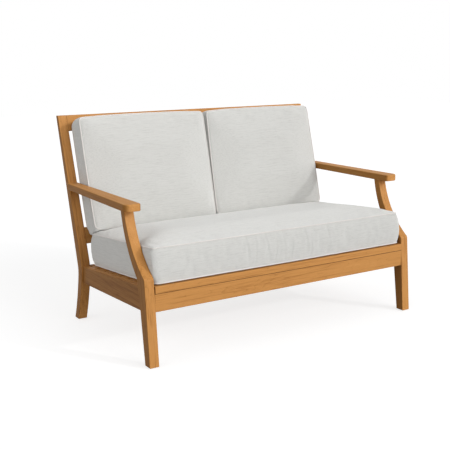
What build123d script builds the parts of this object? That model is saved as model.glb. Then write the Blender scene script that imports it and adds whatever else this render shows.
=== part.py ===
from build123d import *
import math
import os

os.makedirs("parts", exist_ok=True)

# Patio loveseat: a jointed hardwood frame with a slatted seat and back,
# one bench cushion and two back cushions.
# Millimetres. X runs along the seat, Y runs from the front to the back, Z is up.
# The origin is on the floor, under the middle of the whole loveseat.
# Places in the side view are given as back, measured from the toe of the front leg, and up, from the floor.

# Driving sizes of the whole
overall_width = 1400.0
overall_depth = 874.5
overall_height = 913.0
seat_front_height = 317.5
seat_angle = 5.0
rest_angle = 17.43
arm_height = 622.5

# Fits that serve every joint
glue_gap = 0.2
end_gap = 2.0
drill_gap = 0.1
soft_gap = 0.3
overrun = 40.0

# Legs and back posts
leg_thickness = 41.5
arm_overhang = 22.5
leg_ease = 2.5
glide_thickness = 3.0

# Front leg outline
leg_heel_back = 41.0
leg_calf_back = 70.0
leg_calf_drop = 101.5
leg_bend_back = 29.0
leg_bend_rise = 29.5
leg_bend_radius = 18.0
leg_crook_back = 92.0
leg_crook_rise = 22.5
leg_crook_radius = 25.0
leg_top_back = 190.0
leg_top_depth = 31.0
leg_sweep_bow = 28.0
leg_inner_sweep_bow = 21.8

# Back post outline, from the foot of the leaning back, where its plane passes the seat
post_toe_reach = 64.5
post_heel_reach = 105.5
post_knee_reach = 40.5
post_knee_drop = 25.0
post_knee_radius = 120.0
post_shin_bow = 7.4
post_top_depth = 22.06
rest_foot_rise = 2.44
post_shoulder_drop = 6.4
post_shoulder_radius = 150.0
post_front_bow = 8.3

# Arms
arm_thickness = 29.0
arm_rear_half_taper = 16.0
arm_inner_front_overhang = 7.0
arm_inner_rear_overhang = 3.0
arm_front_reach = 62.0
arm_rear_reach = 107.0
arm_outer_corner = 28.0
arm_inner_corner = 16.0
arm_top_ease = 6.0
arm_under_ease = 3.0
arm_tenon_width = 24.0
arm_tenon_depth = 15.0
arm_tenon_length = 19.0

# Front rail and the cap board on it
front_rail_back = 22.5
rail_thickness = 25.0
front_rail_low_drop = 102.0
cap_front_back = 21.0
cap_front_height = 31.0
cap_depth = 62.0
cap_end_gap = 1.5
board_ease = 2.0

# Tenons of the seat rails
tenon_thickness = 10.0
front_tenon_height = 50.0
front_tenon_length = 24.0
front_tenon_above_edge = 10.0
side_tenon_height = 50.0
side_tenon_length = 18.0
side_tenon_drop = 85.5
side_rear_tenon_height = 28.0
side_rear_tenon_length = 24.0
side_rear_tenon_drop = 72.0
rear_tenon_height = 26.0
rear_tenon_length = 24.0
rear_tenon_drop = 38.0

# Side rails and rear rail
side_rail_recess = 8.5
side_rail_low_front_back = 80.0
side_rail_low_front_drop = 104.5
side_rail_low_rear_reach = 11.0
side_rail_low_rear_drop = 80.0
rear_rail_reach = 10.0
rear_rail_low_drop = 75.0
rear_rail_top_drop = 7.0

# Crest rail and lower back rail, measured up and along the leaning back
crest_height = 68.0
crest_thickness = 20.0
lower_rail_low = 98.0
lower_rail_height = 73.0
lower_rail_thickness = 22.0
back_tenon_thickness = 8.0
back_tenon_length = 20.0
back_tenon_inset = 12.0

# Back slats
back_slat_count = 9
back_slat_width = 48.0
back_slat_thickness = 15.0
back_slat_tenon_width = 36.0
back_slat_tenon_thickness = 8.0
back_slat_tenon_length = 12.0

# Seat slats, their ledgers and the bearer under their middles
seat_slat_count = 7
seat_slat_gap = 16.0
seat_slat_rear_gap = 17.1
seat_slat_thickness = 15.0
seat_slat_end_gap = 0.5
ledger_size = 20.0
ledger_front_gap = 7.0
ledger_rear_gap = 5.0
bearer_width = 25.0
bearer_depth = 45.0
bearer_step_gap = 8.0
bearer_housing = 8.0

# Screws, pegs and plugs
screw_shank_radius = 2.0
screw_head_radius = 4.0
screw_head_height = 2.8
screw_tip_height = 4.0
screw_cross_length = 4.8
screw_cross_width = 0.9
screw_cross_depth = 1.2
screw_sink = 0.5
slat_screw_length = 30.0
cap_screw_length = 50.0
cap_screw_count = 4
cap_screw_from_leg = 86.0
ledger_screw_length = 38.0
ledger_screw_slats = (1, 3, 4, 6)
peg_radius = 4.0
peg_length = 32.0
peg_recess = 0.7
peg_from_shoulder = 12.0
front_peg_above_tenon = 37.0
side_peg_reach = 32.0
side_peg_from_shoulder = 10.0
arm_screw_radius = 2.5
arm_screw_head_radius = 4.5
arm_screw_head_height = 3.0
arm_screw_length = 62.0
arm_plug_radius = 5.0
glide_radius = 12.0
glide_pin_radius = 1.5
glide_pin_length = 14.0

# Seat cushion, measured on the sloping seat
seat_cushion_side_gap = 6.0
seat_cushion_front = 14.0
seat_cushion_rear_gap = 20.4
seat_seam_low = 7.0
seat_seam_high = 145.0
seat_cushion_crown = 27.0
seat_crown_reach_share = 0.369
seat_cushion_front_bow = 6.0
seat_cushion_side_bow = 1.0
seat_cushion_rear_bow = 2.0
seat_cushion_corner = 18.0
seat_boxing_swell = 4.5

# Back cushions, measured on the leaning back
back_cushion_side_gap = 12.0
back_cushion_inner_low = 6.5
back_cushion_inner_high = 10.5
back_cushion_low = 148.9
back_cushion_top_drop = 34.18
back_seam_rear = 7.0
back_seam_front = 100.0
back_cushion_crown = 25.0
back_crown_reach_share = 0.363
back_cushion_side_bow = 1.5
back_cushion_low_bow = 2.0
back_cushion_high_bow = 5.0
back_cushion_corner = 17.0
back_boxing_swell = 3.5

# Sewing that all cushions share
cloth_thickness = 1.2
heel_draw = 7.0
corner_opening_share = 0.15
corner_limit_share = 0.85
crown_rise_shares = (0.0, 0.34, 0.70, 0.945, 1.0)
crown_inset_shares = (0.0, 0.08, 0.25, 0.55, 1.0)
piping_radius = 2.5
piping_stand = 2.0

# Sizes worked out from the ones above
leg_outset = overall_width / 2 - arm_overhang
leg_inset = leg_outset - leg_thickness
seat_slope = math.tan(math.radians(seat_angle))
rest_slope = math.tan(math.radians(rest_angle))
rest_cos = math.cos(math.radians(rest_angle))
rest_sin = math.sin(math.radians(rest_angle))
seat_cos = math.cos(math.radians(seat_angle))
seat_sin = math.sin(math.radians(seat_angle))
arm_low = arm_height - arm_thickness
arm_screw_up = arm_height - arm_thickness / 2
side_rail_inset = leg_inset + side_rail_recess

# The leaning back starts at the top of the posts and runs down at its angle until it passes the seat
rest_drop = overall_height - seat_front_height - rest_foot_rise - cap_front_back * seat_slope
rest_foot_back = (
    (overall_depth - post_top_depth - rest_drop * rest_slope) / (1 + seat_slope * rest_slope)
)
rest_foot_up = seat_front_height - (rest_foot_back - cap_front_back) * seat_slope + rest_foot_rise

# Heights that follow the front of the seat
leg_calf_up = seat_front_height - leg_calf_drop
leg_bend_up = seat_front_height + leg_bend_rise
leg_crook_up = seat_front_height + leg_crook_rise
front_rail_low = seat_front_height - front_rail_low_drop
cap_low = seat_front_height - cap_front_height
front_tenon_low = front_rail_low + front_tenon_above_edge
front_peg_up = front_tenon_low + front_peg_above_tenon
side_tenon_low = seat_front_height - side_tenon_drop
side_rail_low_front_up = seat_front_height - side_rail_low_front_drop

# Places that follow the foot of the leaning back
post_toe_back = rest_foot_back + post_toe_reach
post_heel_back = rest_foot_back + post_heel_reach
post_knee_back = rest_foot_back + post_knee_reach
post_knee_up = rest_foot_up - post_knee_drop
post_shoulder_up = rest_foot_up - post_shoulder_drop
side_rear_tenon_low = rest_foot_up - side_rear_tenon_drop
rear_tenon_low = rest_foot_up - rear_tenon_drop
side_rail_low_rear_back = rest_foot_back + side_rail_low_rear_reach
side_rail_low_rear_up = rest_foot_up - side_rail_low_rear_drop
rear_rail_back = rest_foot_back + rear_rail_reach
rear_rail_low = rest_foot_up - rear_rail_low_drop
rear_rail_top = rest_foot_up - rear_rail_top_drop
ledger_rear_back = rest_foot_back - ledger_rear_gap
arm_rear_back = rest_foot_back + arm_rear_reach

# Places that follow the cap board, the legs and the arms
cap_rear_back = cap_front_back + cap_depth
ledger_front_back = cap_rear_back + ledger_front_gap
bearer_step_back = cap_rear_back + bearer_step_gap
seat_slat_first_back = cap_rear_back + seat_slat_gap
arm_front_back = leg_top_back - arm_front_reach
arm_inner_front = leg_inset - arm_inner_front_overhang
arm_inner_rear = leg_inset - arm_inner_rear_overhang
front_peg_outset = leg_inset + peg_from_shoulder
cap_screw_span = 2 * (leg_inset - cap_screw_from_leg)

# The seat slats share the room from the cap board to the rear ends of the ledgers
seat_slat_room = (ledger_rear_back - seat_slat_first_back) / seat_cos - seat_slat_rear_gap
seat_slat_width = (seat_slat_room - (seat_slat_count - 1) * seat_slat_gap) / seat_slat_count

# Cushions fill the room between the arms, up to the leaning back and the crest rail
seat_cushion_half = leg_inset - seat_cushion_side_gap
seat_cushion_rear = (rest_foot_back - cap_front_back) / seat_cos - seat_cushion_rear_gap
back_cushion_outer = leg_inset - back_cushion_side_gap
back_cushion_high = (overall_height - rest_foot_up) / rest_cos - back_cushion_top_drop


def at(back, up):
    """A point of the side view, from its distance behind the toe and its height."""
    return (back - overall_depth / 2, up)


def seat_up(back):
    """The height of the sloping seat plane, at a distance behind the toe."""
    return seat_front_height - (back - cap_front_back) * seat_slope


def rest_back(up):
    """How far behind the toe the plane of the leaning back is, at a height."""
    return rest_foot_back + (up - rest_foot_up) * rest_slope


def rest_point(along, out):
    """A point of the side view, along the leaning back and out in front of it."""
    back = rest_foot_back + along * rest_sin - out * rest_cos
    up = rest_foot_up + along * rest_cos + out * rest_sin
    return at(back, up)


def rest_along(up):
    """How far along the leaning back its front plane reaches a height."""
    return (up - rest_foot_up) / rest_cos


# The seat plane has X along the seat and Y back down the slope, and the rest plane has Y up the slope.
seat_plane = Plane(
    origin=(0, at(cap_front_back, 0)[0], seat_front_height),
    x_dir=(1, 0, 0),
    z_dir=(0, seat_sin, seat_cos),
)
rest_plane = Plane(
    origin=(0, at(rest_foot_back, 0)[0], rest_foot_up),
    x_dir=(1, 0, 0),
    z_dir=(0, -rest_cos, rest_sin),
)
post_back_lean = math.atan2(overall_depth - post_knee_back, overall_height - post_knee_up)
post_back_plane = Plane(
    origin=(0, at(post_knee_back, 0)[0], post_knee_up),
    x_dir=(1, 0, 0),
    z_dir=(0, math.cos(post_back_lean), -math.sin(post_back_lean)),
)
crest_low = rest_along(overall_height) - crest_height


def on_seat(across, back_along, above):
    """A place on the seat plane, whose Z stands square to the seat."""
    return seat_plane.location * Pos(across, back_along, above)


def on_rest(across, along, out):
    """A place on the rest plane, whose Z stands square to the back."""
    return rest_plane.location * Pos(across, along, out)


def bowed(start, end, bow):
    """An arc that stands out from the line of its ends by bow, on the left of the way from start to end."""
    start, end = Vector(*start), Vector(*end)
    step = end - start
    middle = (start + end) / 2 + Vector(-step.Y, step.X) / step.length * bow
    return ThreePointArc(start, middle, end)


def hand_in(piece, name):
    """Labels a finished piece, writes its file and prints its size."""
    piece.part.label = name
    export_step(piece.part, f"parts/{name}.step")
    size = piece.part.bounding_box().size
    print(name, [round(length, 1) for length in size], "solids", len(piece.part.solids()))


def upright_side_edges(piece, low, high):
    """The edges of a leg's two side faces between two heights: the long ones and those round its foot."""
    faces = piece.faces().sort_by(Axis.X)
    edges = faces[0].edges() + faces[-1].edges()
    return edges.filter_by_position(Axis.Z, low, high, inclusive=(False, False))


# Outlines of the legs

def front_leg_outline():
    """The side view of a front leg: it leans to the front below the seat and sweeps back above it."""
    toe = at(0, glide_thickness)
    heel = at(leg_heel_back, glide_thickness)
    calf = at(leg_calf_back, leg_calf_up)
    bend = at(leg_bend_back, leg_bend_up)
    crook = at(leg_crook_back, leg_crook_up)
    top_front = at(leg_top_back, arm_low)
    top_rear = at(leg_top_back + leg_top_depth, arm_low)
    with BuildSketch() as outline:
        with BuildLine():
            Line(toe, bend)
            bowed(bend, top_front, -leg_sweep_bow)
            Line(top_front, top_rear)
            bowed(top_rear, crook, leg_inner_sweep_bow)
            Polyline(crook, calf, heel, toe)
        make_face()
        fillet(outline.vertices().sort_by_distance(bend)[0], leg_bend_radius)
        fillet(outline.vertices().sort_by_distance(crook)[0], leg_crook_radius)
    return outline.sketch


def back_post_outline():
    """The side view of a back post: a splayed foot, a knee at the seat and a long leaning top."""
    toe = at(post_toe_back, glide_thickness)
    heel = at(post_heel_back, glide_thickness)
    knee = at(post_knee_back, post_knee_up)
    shoulder = at(rest_back(post_shoulder_up), post_shoulder_up)
    top_front = at(rest_back(overall_height), overall_height)
    top_rear = at(overall_depth, overall_height)
    with BuildSketch() as outline:
        with BuildLine():
            bowed(heel, knee, post_shin_bow)
            Polyline(knee, top_rear, top_front, shoulder)
            bowed(shoulder, toe, -post_front_bow)
            Line(toe, heel)
        make_face()
        fillet(outline.vertices().sort_by_distance(knee)[0], post_knee_radius)
        fillet(outline.vertices().sort_by_distance(shoulder)[0], post_shoulder_radius)
    return outline.sketch


front_leg_face = front_leg_outline()
back_post_face = back_post_outline()


# Screws and their holes: each has its axis on Z, its head's top at zero and its tip below

def screw_profile(shank_radius, head_radius, head_height, length, tapered):
    """Half of a screw's section, from the top of its head to its tip."""
    points = [(0, 0), (head_radius, 0)]
    if not tapered:
        points.append((head_radius, -head_height))
    points.append((shank_radius, -head_height))
    points.append((shank_radius, screw_tip_height - length))
    points.append((0, -length))
    return points


def screw_shape(shank_radius, head_radius, head_height, length, tapered):
    """A wood screw with a cross cut in its head."""
    with BuildPart() as screw:
        with BuildSketch(Plane.XZ):
            with BuildLine():
                profile = screw_profile(shank_radius, head_radius, head_height, length, tapered)
                Polyline(*profile, close=True)
            make_face()
        revolve(axis=Axis.Z)
        for across, along in (
            (screw_cross_length, screw_cross_width),
            (screw_cross_width, screw_cross_length),
        ):
            Box(
                across, along, screw_cross_depth,
                align=(Align.CENTER, Align.CENTER, Align.MAX), mode=Mode.SUBTRACT,
            )
    return screw.part


def small_screw(length):
    """The countersunk screw that holds slats, cap board and ledgers."""
    return screw_shape(screw_shank_radius, screw_head_radius, screw_head_height, length, True)


def small_hole(length):
    """The countersunk hole for that screw, a drill gap wider all round."""
    head = screw_head_radius + drill_gap
    shank = screw_shank_radius + drill_gap
    shoulder = -screw_head_height - drill_gap
    with BuildPart() as hole:
        with BuildSketch(Plane.XZ):
            with BuildLine():
                Polyline(
                    (0, screw_head_height), (head, screw_head_height), (head, 0), (shank, shoulder),
                    (shank, -length - drill_gap), (0, -length - drill_gap), close=True,
                )
            make_face()
        revolve(axis=Axis.Z)
    return hole.part


def round_bar(radius, length):
    """A round bar that starts at its place and runs down its Z."""
    with BuildPart() as bar:
        Cylinder(radius, length, align=(Align.CENTER, Align.CENTER, Align.MAX))
    return bar.part


def cut_at(shape, places):
    """Cuts a shape out of the piece being made, at each place."""
    with Locations(*places):
        add(shape, mode=Mode.SUBTRACT)


def group_of(shape, places):
    """One node of identical separate pieces."""
    with BuildPart() as group:
        with Locations(*places):
            add(shape)
    return group


# Where the fasteners sit

slat_starts = [
    (seat_slat_first_back - cap_front_back) / seat_cos + slat * (seat_slat_width + seat_slat_gap)
    for slat in range(seat_slat_count)
]
slat_middles = [start + seat_slat_width / 2 for start in slat_starts]
ledger_middle = side_rail_inset - ledger_size / 2
slat_screw_columns = (-ledger_middle, 0, ledger_middle)


def slat_screw_places_at(across):
    """One screw through each slat, in the column of a ledger or of the bearer."""
    return [on_seat(across, middle, -screw_sink) for middle in slat_middles]


cap_screw_places = [
    on_seat(
        -cap_screw_span / 2 + cap_screw_span * number / (cap_screw_count - 1),
        (front_rail_back + rail_thickness / 2 - cap_front_back) / seat_cos,
        -screw_sink,
    )
    for number in range(cap_screw_count)
]


def ledger_screw_places(side):
    """Places on a ledger's inner face, each in the gap in front of a slat. Z points in to the seat."""
    places = []
    for slat in ledger_screw_slats:
        back = cap_front_back + (slat_starts[slat] - seat_slat_gap / 2) * seat_cos
        up = seat_up(back) - seat_slat_thickness - ledger_size / 2
        face = side * (side_rail_inset - ledger_size + screw_sink)
        plane = Plane(origin=(face, at(back, up)[0], up), x_dir=(0, 1, 0), z_dir=(-side, 0, 0))
        places.append(plane.location)
    return places


def leg_front_at(up):
    """How far behind the toe the front edge of a front leg is, below its bend."""
    return leg_bend_back * (up - glide_thickness) / (leg_bend_up - glide_thickness)


def post_depth_at(along):
    """The depth of a back post, square to its front, at a distance along the leaning back."""
    up = rest_foot_up + along * rest_cos
    rear = post_knee_back + (up - post_knee_up) * math.tan(post_back_lean)
    return (rear - rest_back(up)) * rest_cos


side_peg_up = side_tenon_low + side_tenon_height / 2
side_rear_peg_up = side_rear_tenon_low + side_rear_tenon_height / 2
rear_peg_up = rear_tenon_low + rear_tenon_height / 2
lower_rail_middle = lower_rail_low + lower_rail_height / 2
crest_middle = crest_low + crest_height / 2


def peg_places(side):
    """The pegs of one end of the frame, by joint. Each place's Z points out of the wood."""
    outset = side * front_peg_outset
    front = Plane(
        origin=(outset, at(leg_front_at(front_peg_up) + peg_recess, 0)[0], front_peg_up),
        x_dir=(1, 0, 0), z_dir=(0, -1, 0),
    )
    rear = Plane(
        origin=(outset, at(post_knee_back - peg_recess, 0)[0], rear_peg_up),
        x_dir=(1, 0, 0), z_dir=(0, 1, 0),
    )
    leg_rear = leg_calf_back + (side_peg_up - leg_calf_up) * (
        (leg_crook_back - leg_calf_back) / (leg_crook_up - leg_calf_up)
    )
    side_front = Plane(
        origin=(side * (leg_inset + peg_recess), at(leg_rear - side_peg_from_shoulder, 0)[0], side_peg_up),
        x_dir=(0, 1, 0), z_dir=(-side, 0, 0),
    )
    side_rear = Plane(
        origin=(
            side * (leg_inset + peg_recess),
            at(rest_foot_back + side_peg_from_shoulder + rail_thickness / 4, 0)[0],
            side_rear_peg_up,
        ),
        x_dir=(0, 1, 0), z_dir=(-side, 0, 0),
    )
    turned = Rot(180, 0, 0)
    lower = on_rest(outset, lower_rail_middle, -post_depth_at(lower_rail_middle) + peg_recess) * turned
    crest = on_rest(outset, crest_middle, -post_depth_at(crest_middle) + peg_recess) * turned
    return {
        "front": front.location, "rear": rear.location, "side_front": side_front.location,
        "side_rear": side_rear.location, "lower": lower, "crest": crest,
    }


def peg_length_of(joint):
    """Pegs in the thin crest are cut short, and the ones in the side tenons run across them."""
    if joint == "crest":
        return crest_thickness - back_tenon_thickness / 2
    if joint.startswith("side"):
        return side_peg_reach
    return peg_length


peg_joints = ("front", "rear", "side_front", "side_rear", "lower", "crest")
peg_bores = {
    joint: round_bar(peg_radius + drill_gap, peg_length_of(joint) + drill_gap)
    for joint in peg_joints
}


def cut_pegs(side, joints):
    """Bores the peg holes of the named joints in the piece being made."""
    places = peg_places(side)
    for joint in joints:
        cut_at(peg_bores[joint], [places[joint]])


# Tenons and the mortises that take them

def block(low_x, high_x, low_back, high_back, low_up, high_up, mode):
    """A square-edged block of the piece being made, between six places."""
    middle = (
        (low_x + high_x) / 2,
        at((low_back + high_back) / 2, 0)[0],
        (low_up + high_up) / 2,
    )
    with Locations(middle):
        Box(abs(high_x - low_x), high_back - low_back, high_up - low_up, mode=mode)


def front_tenon(side, gap, mode):
    """The tenon of the front rail, or with a gap its mortise in the front leg."""
    middle = front_rail_back + rail_thickness / 2
    block(
        side * leg_inset, side * (leg_inset + front_tenon_length + gap * end_gap / glue_gap),
        middle - tenon_thickness / 2 - gap, middle + tenon_thickness / 2 + gap,
        front_tenon_low - gap, front_tenon_low + front_tenon_height + gap, mode,
    )


def rear_tenon(side, gap, mode):
    """The tenon of the rear rail, or with a gap its mortise in the back post."""
    middle = rear_rail_back + rail_thickness / 2
    block(
        side * leg_inset, side * (leg_inset + rear_tenon_length + gap * end_gap / glue_gap),
        middle - tenon_thickness / 2 - gap, middle + tenon_thickness / 2 + gap,
        rear_tenon_low - gap, rear_tenon_low + rear_tenon_height + gap, mode,
    )


def side_tenon_across(side, gap):
    """The two faces of the side rail's tenons."""
    middle = side * (side_rail_inset + rail_thickness / 2)
    return middle - tenon_thickness / 2 - gap, middle + tenon_thickness / 2 + gap


def side_front_tenon(side, gap, mode):
    """The tenon of a side rail in the front leg, or with a gap its mortise."""
    low_x, high_x = side_tenon_across(side, gap)
    shoulder = leg_crook_back
    block(
        low_x, high_x,
        leg_calf_back - side_tenon_length - gap * end_gap / glue_gap, shoulder,
        side_tenon_low - gap, side_tenon_low + side_tenon_height + gap, mode,
    )


def side_rear_tenon(side, gap, mode):
    """The tenon of a side rail in the back post, or with a gap its mortise."""
    low_x, high_x = side_tenon_across(side, gap)
    block(
        low_x, high_x,
        rest_foot_back - end_gap, rest_foot_back + side_rear_tenon_length + gap * end_gap / glue_gap,
        side_rear_tenon_low - gap, side_rear_tenon_low + side_rear_tenon_height + gap, mode,
    )


def back_rail_tenon(side, low, height, thickness, gap, mode):
    """The tenon of a back rail, or with a gap its mortise, square to the leaning back."""
    length = back_tenon_length + gap * end_gap / glue_gap
    with Locations(on_rest(side * (leg_inset + length / 2), low + height / 2, -thickness / 2)):
        Box(length, height - 2 * back_tenon_inset + 2 * gap, back_tenon_thickness + 2 * gap, mode=mode)


def arm_tenon(side, gap, mode):
    """The tenon on top of the front leg, or with a gap its mortise in the arm."""
    middle = side * (leg_inset + leg_thickness / 2)
    front = leg_top_back + (leg_top_depth - arm_tenon_depth) / 2
    block(
        middle - arm_tenon_width / 2 - gap, middle + arm_tenon_width / 2 + gap,
        front - gap, front + arm_tenon_depth + gap,
        arm_low, arm_low + arm_tenon_length + gap * end_gap / glue_gap, mode,
    )


# Arm screws run level through the post into the end of the arm

arm_screw_seat_back = rest_back(arm_screw_up) + leg_thickness / 3


def arm_screw_place(side):
    """The top of the screw's head, with Z pointing out of the back of the post."""
    across = side * (leg_inset + leg_thickness / 2)
    plane = Plane(
        origin=(across, at(arm_screw_seat_back, 0)[0], arm_screw_up), x_dir=(1, 0, 0), z_dir=(0, 1, 0)
    )
    return plane.location


arm_screw = screw_shape(
    arm_screw_radius, arm_screw_head_radius, arm_screw_head_height, arm_screw_length, False
)
arm_screw_hole = round_bar(arm_screw_radius + drill_gap, arm_screw_length + drill_gap)
arm_plug_bore = round_bar(arm_plug_radius + drill_gap, overrun + arm_screw_head_height)


# Legs and posts

def glide_place(side, toe_back, heel_back):
    """The middle of a foot's underside."""
    across = side * (leg_inset + leg_thickness / 2)
    return Pos(across, at((toe_back + heel_back) / 2, 0)[0], glide_thickness)


glide_places = [
    glide_place(side, toe, heel)
    for side in (-1, 1)
    for toe, heel in ((0, leg_heel_back), (post_toe_back, post_heel_back))
]
glide_pin_bore = round_bar(glide_pin_radius + drill_gap, glide_pin_length + drill_gap)
turn_up = Rot(180, 0, 0)


def make_front_leg(side):
    """A front leg with its mortises, its top tenon and its peg holes."""
    with BuildPart() as leg:
        with BuildSketch(Plane.YZ.offset(side * leg_inset)):
            add(front_leg_face)
        extrude(amount=side * leg_thickness)
        fillet(upright_side_edges(leg, 0, arm_low), leg_ease)
        arm_tenon(side, 0, Mode.ADD)
        front_tenon(side, glue_gap, Mode.SUBTRACT)
        side_front_tenon(side, glue_gap, Mode.SUBTRACT)
        cut_pegs(side, ("front", "side_front"))
        cut_at(glide_pin_bore, [glide_place(side, 0, leg_heel_back) * turn_up])
    return leg


def make_back_post(side):
    """A back post with mortises for four rails and the bore of the arm's screw."""
    with BuildPart() as post:
        with BuildSketch(Plane.YZ.offset(side * leg_inset)):
            add(back_post_face)
        extrude(amount=side * leg_thickness)
        fillet(upright_side_edges(post, 0, overall_height), leg_ease)
        rear_tenon(side, glue_gap, Mode.SUBTRACT)
        side_rear_tenon(side, glue_gap, Mode.SUBTRACT)
        back_rail_tenon(
            side, lower_rail_low, lower_rail_height, lower_rail_thickness, glue_gap, Mode.SUBTRACT
        )
        back_rail_tenon(side, crest_low, crest_height, crest_thickness, glue_gap, Mode.SUBTRACT)
        cut_pegs(side, ("rear", "side_rear", "lower", "crest"))
        cut_at(arm_screw_hole, [arm_screw_place(side)])
        cut_at(arm_plug_bore, [arm_screw_place(side) * Pos(0, 0, overrun)])
        cut_at(glide_pin_bore, [glide_place(side, post_toe_back, post_heel_back) * turn_up])
    return post


# Arms

def make_arm(side):
    """An arm: a tapered board with round front corners, cut to the lean of the post at its rear."""
    front = at(arm_front_back, 0)[0]
    rear = at(arm_rear_back + overrun, 0)[0]
    outer_front = side * overall_width / 2
    outer_rear = side * (overall_width / 2 - arm_rear_half_taper)
    inner_front = side * arm_inner_front
    inner_rear = side * arm_inner_rear
    with BuildPart() as arm:
        with BuildSketch(Plane.XY.offset(arm_low)) as plan:
            with BuildLine():
                Polyline(
                    (outer_front, front), (outer_rear, rear),
                    (inner_rear, rear), (inner_front, front), close=True,
                )
            make_face()
            fillet(plan.vertices().sort_by_distance((outer_front, front))[0], arm_outer_corner)
            fillet(plan.vertices().sort_by_distance((inner_front, front))[0], arm_inner_corner)
        extrude(amount=arm_thickness)
        fillet(arm.faces().sort_by(Axis.Z)[-1].edges(), arm_top_ease)
        fillet(arm.faces().sort_by(Axis.Z)[0].edges(), arm_under_ease)
        split(bisect_by=rest_plane, keep=Keep.TOP)
        arm_tenon(side, glue_gap, Mode.SUBTRACT)
        cut_at(arm_screw_hole, [arm_screw_place(side)])
    return arm


# Seat rails

def make_front_rail():
    """The front rail, with a tenon at each end and a housing for the bearer behind."""
    with BuildPart() as rail:
        block(
            -leg_inset, leg_inset, front_rail_back, front_rail_back + rail_thickness,
            front_rail_low, cap_low, Mode.ADD,
        )
        long_edges = rail.edges().filter_by(Axis.X)
        fillet(long_edges.group_by(Axis.Z)[0], board_ease)
        for side in (-1, 1):
            front_tenon(side, 0, Mode.ADD)
            cut_pegs(side, ("front",))
        bearer_end(1, glue_gap, Mode.SUBTRACT)
        cut_at(small_hole(cap_screw_length), cap_screw_places)
    return rail


def make_cap_board():
    """The board on the front rail, with its top planed to the slope of the seat."""
    half = leg_inset - cap_end_gap
    with BuildPart() as cap:
        with BuildSketch(Plane.YZ.offset(-half)):
            with BuildLine():
                Polyline(
                    at(cap_front_back, cap_low), at(cap_front_back, seat_up(cap_front_back)),
                    at(cap_rear_back, seat_up(cap_rear_back)), at(cap_rear_back, cap_low), close=True,
                )
            make_face()
        extrude(amount=2 * half)
        fillet(cap.edges().filter_by(Axis.X), board_ease)
        cut_at(small_hole(cap_screw_length), cap_screw_places)
    return cap


def make_side_rail(side):
    """A side rail, deeper at the front, coped to the leg and the post and tenoned into both."""
    front = leg_bend_back
    rear = post_knee_back
    low_run = side_rail_low_rear_back - side_rail_low_front_back
    drop = (side_rail_low_rear_up - side_rail_low_front_up) / low_run
    low_front = side_rail_low_front_up + (front - side_rail_low_front_back) * drop
    low_rear = side_rail_low_front_up + (rear - side_rail_low_front_back) * drop
    with BuildPart() as rail:
        with BuildSketch(Plane.YZ.offset(side * side_rail_inset)):
            with BuildLine():
                Polyline(
                    at(front, low_front), at(front, seat_up(front)),
                    at(rear, seat_up(rear)), at(rear, low_rear), close=True,
                )
            make_face()
            add(front_leg_face, mode=Mode.SUBTRACT)
            add(back_post_face, mode=Mode.SUBTRACT)
        extrude(amount=side * rail_thickness)
        low_edges = rail.edges().filter_by(lambda edge: edge.length > ledger_rear_back - ledger_front_back)
        fillet(low_edges, board_ease)
        side_front_tenon(side, 0, Mode.ADD)
        side_rear_tenon(side, 0, Mode.ADD)
        cut_pegs(side, ("side_front", "side_rear"))
        cut_at(small_hole(ledger_screw_length), ledger_screw_places(side))
    return rail


def make_rear_rail():
    """The rear seat rail, between the back posts."""
    with BuildPart() as rail:
        block(
            -leg_inset, leg_inset, rear_rail_back, rear_rail_back + rail_thickness,
            rear_rail_low, rear_rail_top, Mode.ADD,
        )
        fillet(rail.edges().filter_by(Axis.X), board_ease)
        for side in (-1, 1):
            rear_tenon(side, 0, Mode.ADD)
            cut_pegs(side, ("rear",))
        bearer_end(-1, glue_gap, Mode.SUBTRACT)
    return rail


# The bearer under the middle of the seat slats

def bearer_top(back):
    """The height of the slats' underside."""
    return seat_up(back) - seat_slat_thickness / seat_cos


bearer_front_back = front_rail_back + rail_thickness
bearer_front_low = bearer_top(bearer_front_back) - bearer_depth
bearer_rear_low = bearer_top(rear_rail_back) - bearer_depth


def bearer_end(end, gap, mode):
    """The bearer's stub in the front rail, end 1, or the rear rail, end -1, or with a gap its housing."""
    if end == 1:
        low_back = bearer_front_back - bearer_housing - gap
        high_back = bearer_front_back
        low = bearer_front_low + board_ease
        high = cap_low - board_ease * 2
    else:
        low_back = rear_rail_back
        high_back = rear_rail_back + bearer_housing + gap
        low = bearer_rear_low + board_ease
        high = bearer_top(rear_rail_back) - board_ease * 2
    half = bearer_width / 2 - board_ease + gap
    block(-half, half, low_back, high_back, low - gap, high + gap, mode)


def make_bearer():
    """The bearer: stepped down in front to carry the cap board, housed in both rails."""
    step_top = bearer_top(bearer_step_back)
    with BuildPart() as bearer:
        with BuildSketch(Plane.YZ.offset(-bearer_width / 2)):
            with BuildLine():
                Polyline(
                    at(bearer_front_back, bearer_front_low), at(bearer_front_back, cap_low),
                    at(bearer_step_back, cap_low), at(bearer_step_back, step_top),
                    at(rear_rail_back, bearer_top(rear_rail_back)), at(rear_rail_back, bearer_rear_low),
                    close=True,
                )
            make_face()
        extrude(amount=bearer_width)
        bearer_end(1, 0, Mode.ADD)
        bearer_end(-1, 0, Mode.ADD)
        cut_at(small_hole(slat_screw_length), slat_screw_places_at(slat_screw_columns[1]))
    return bearer


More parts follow.
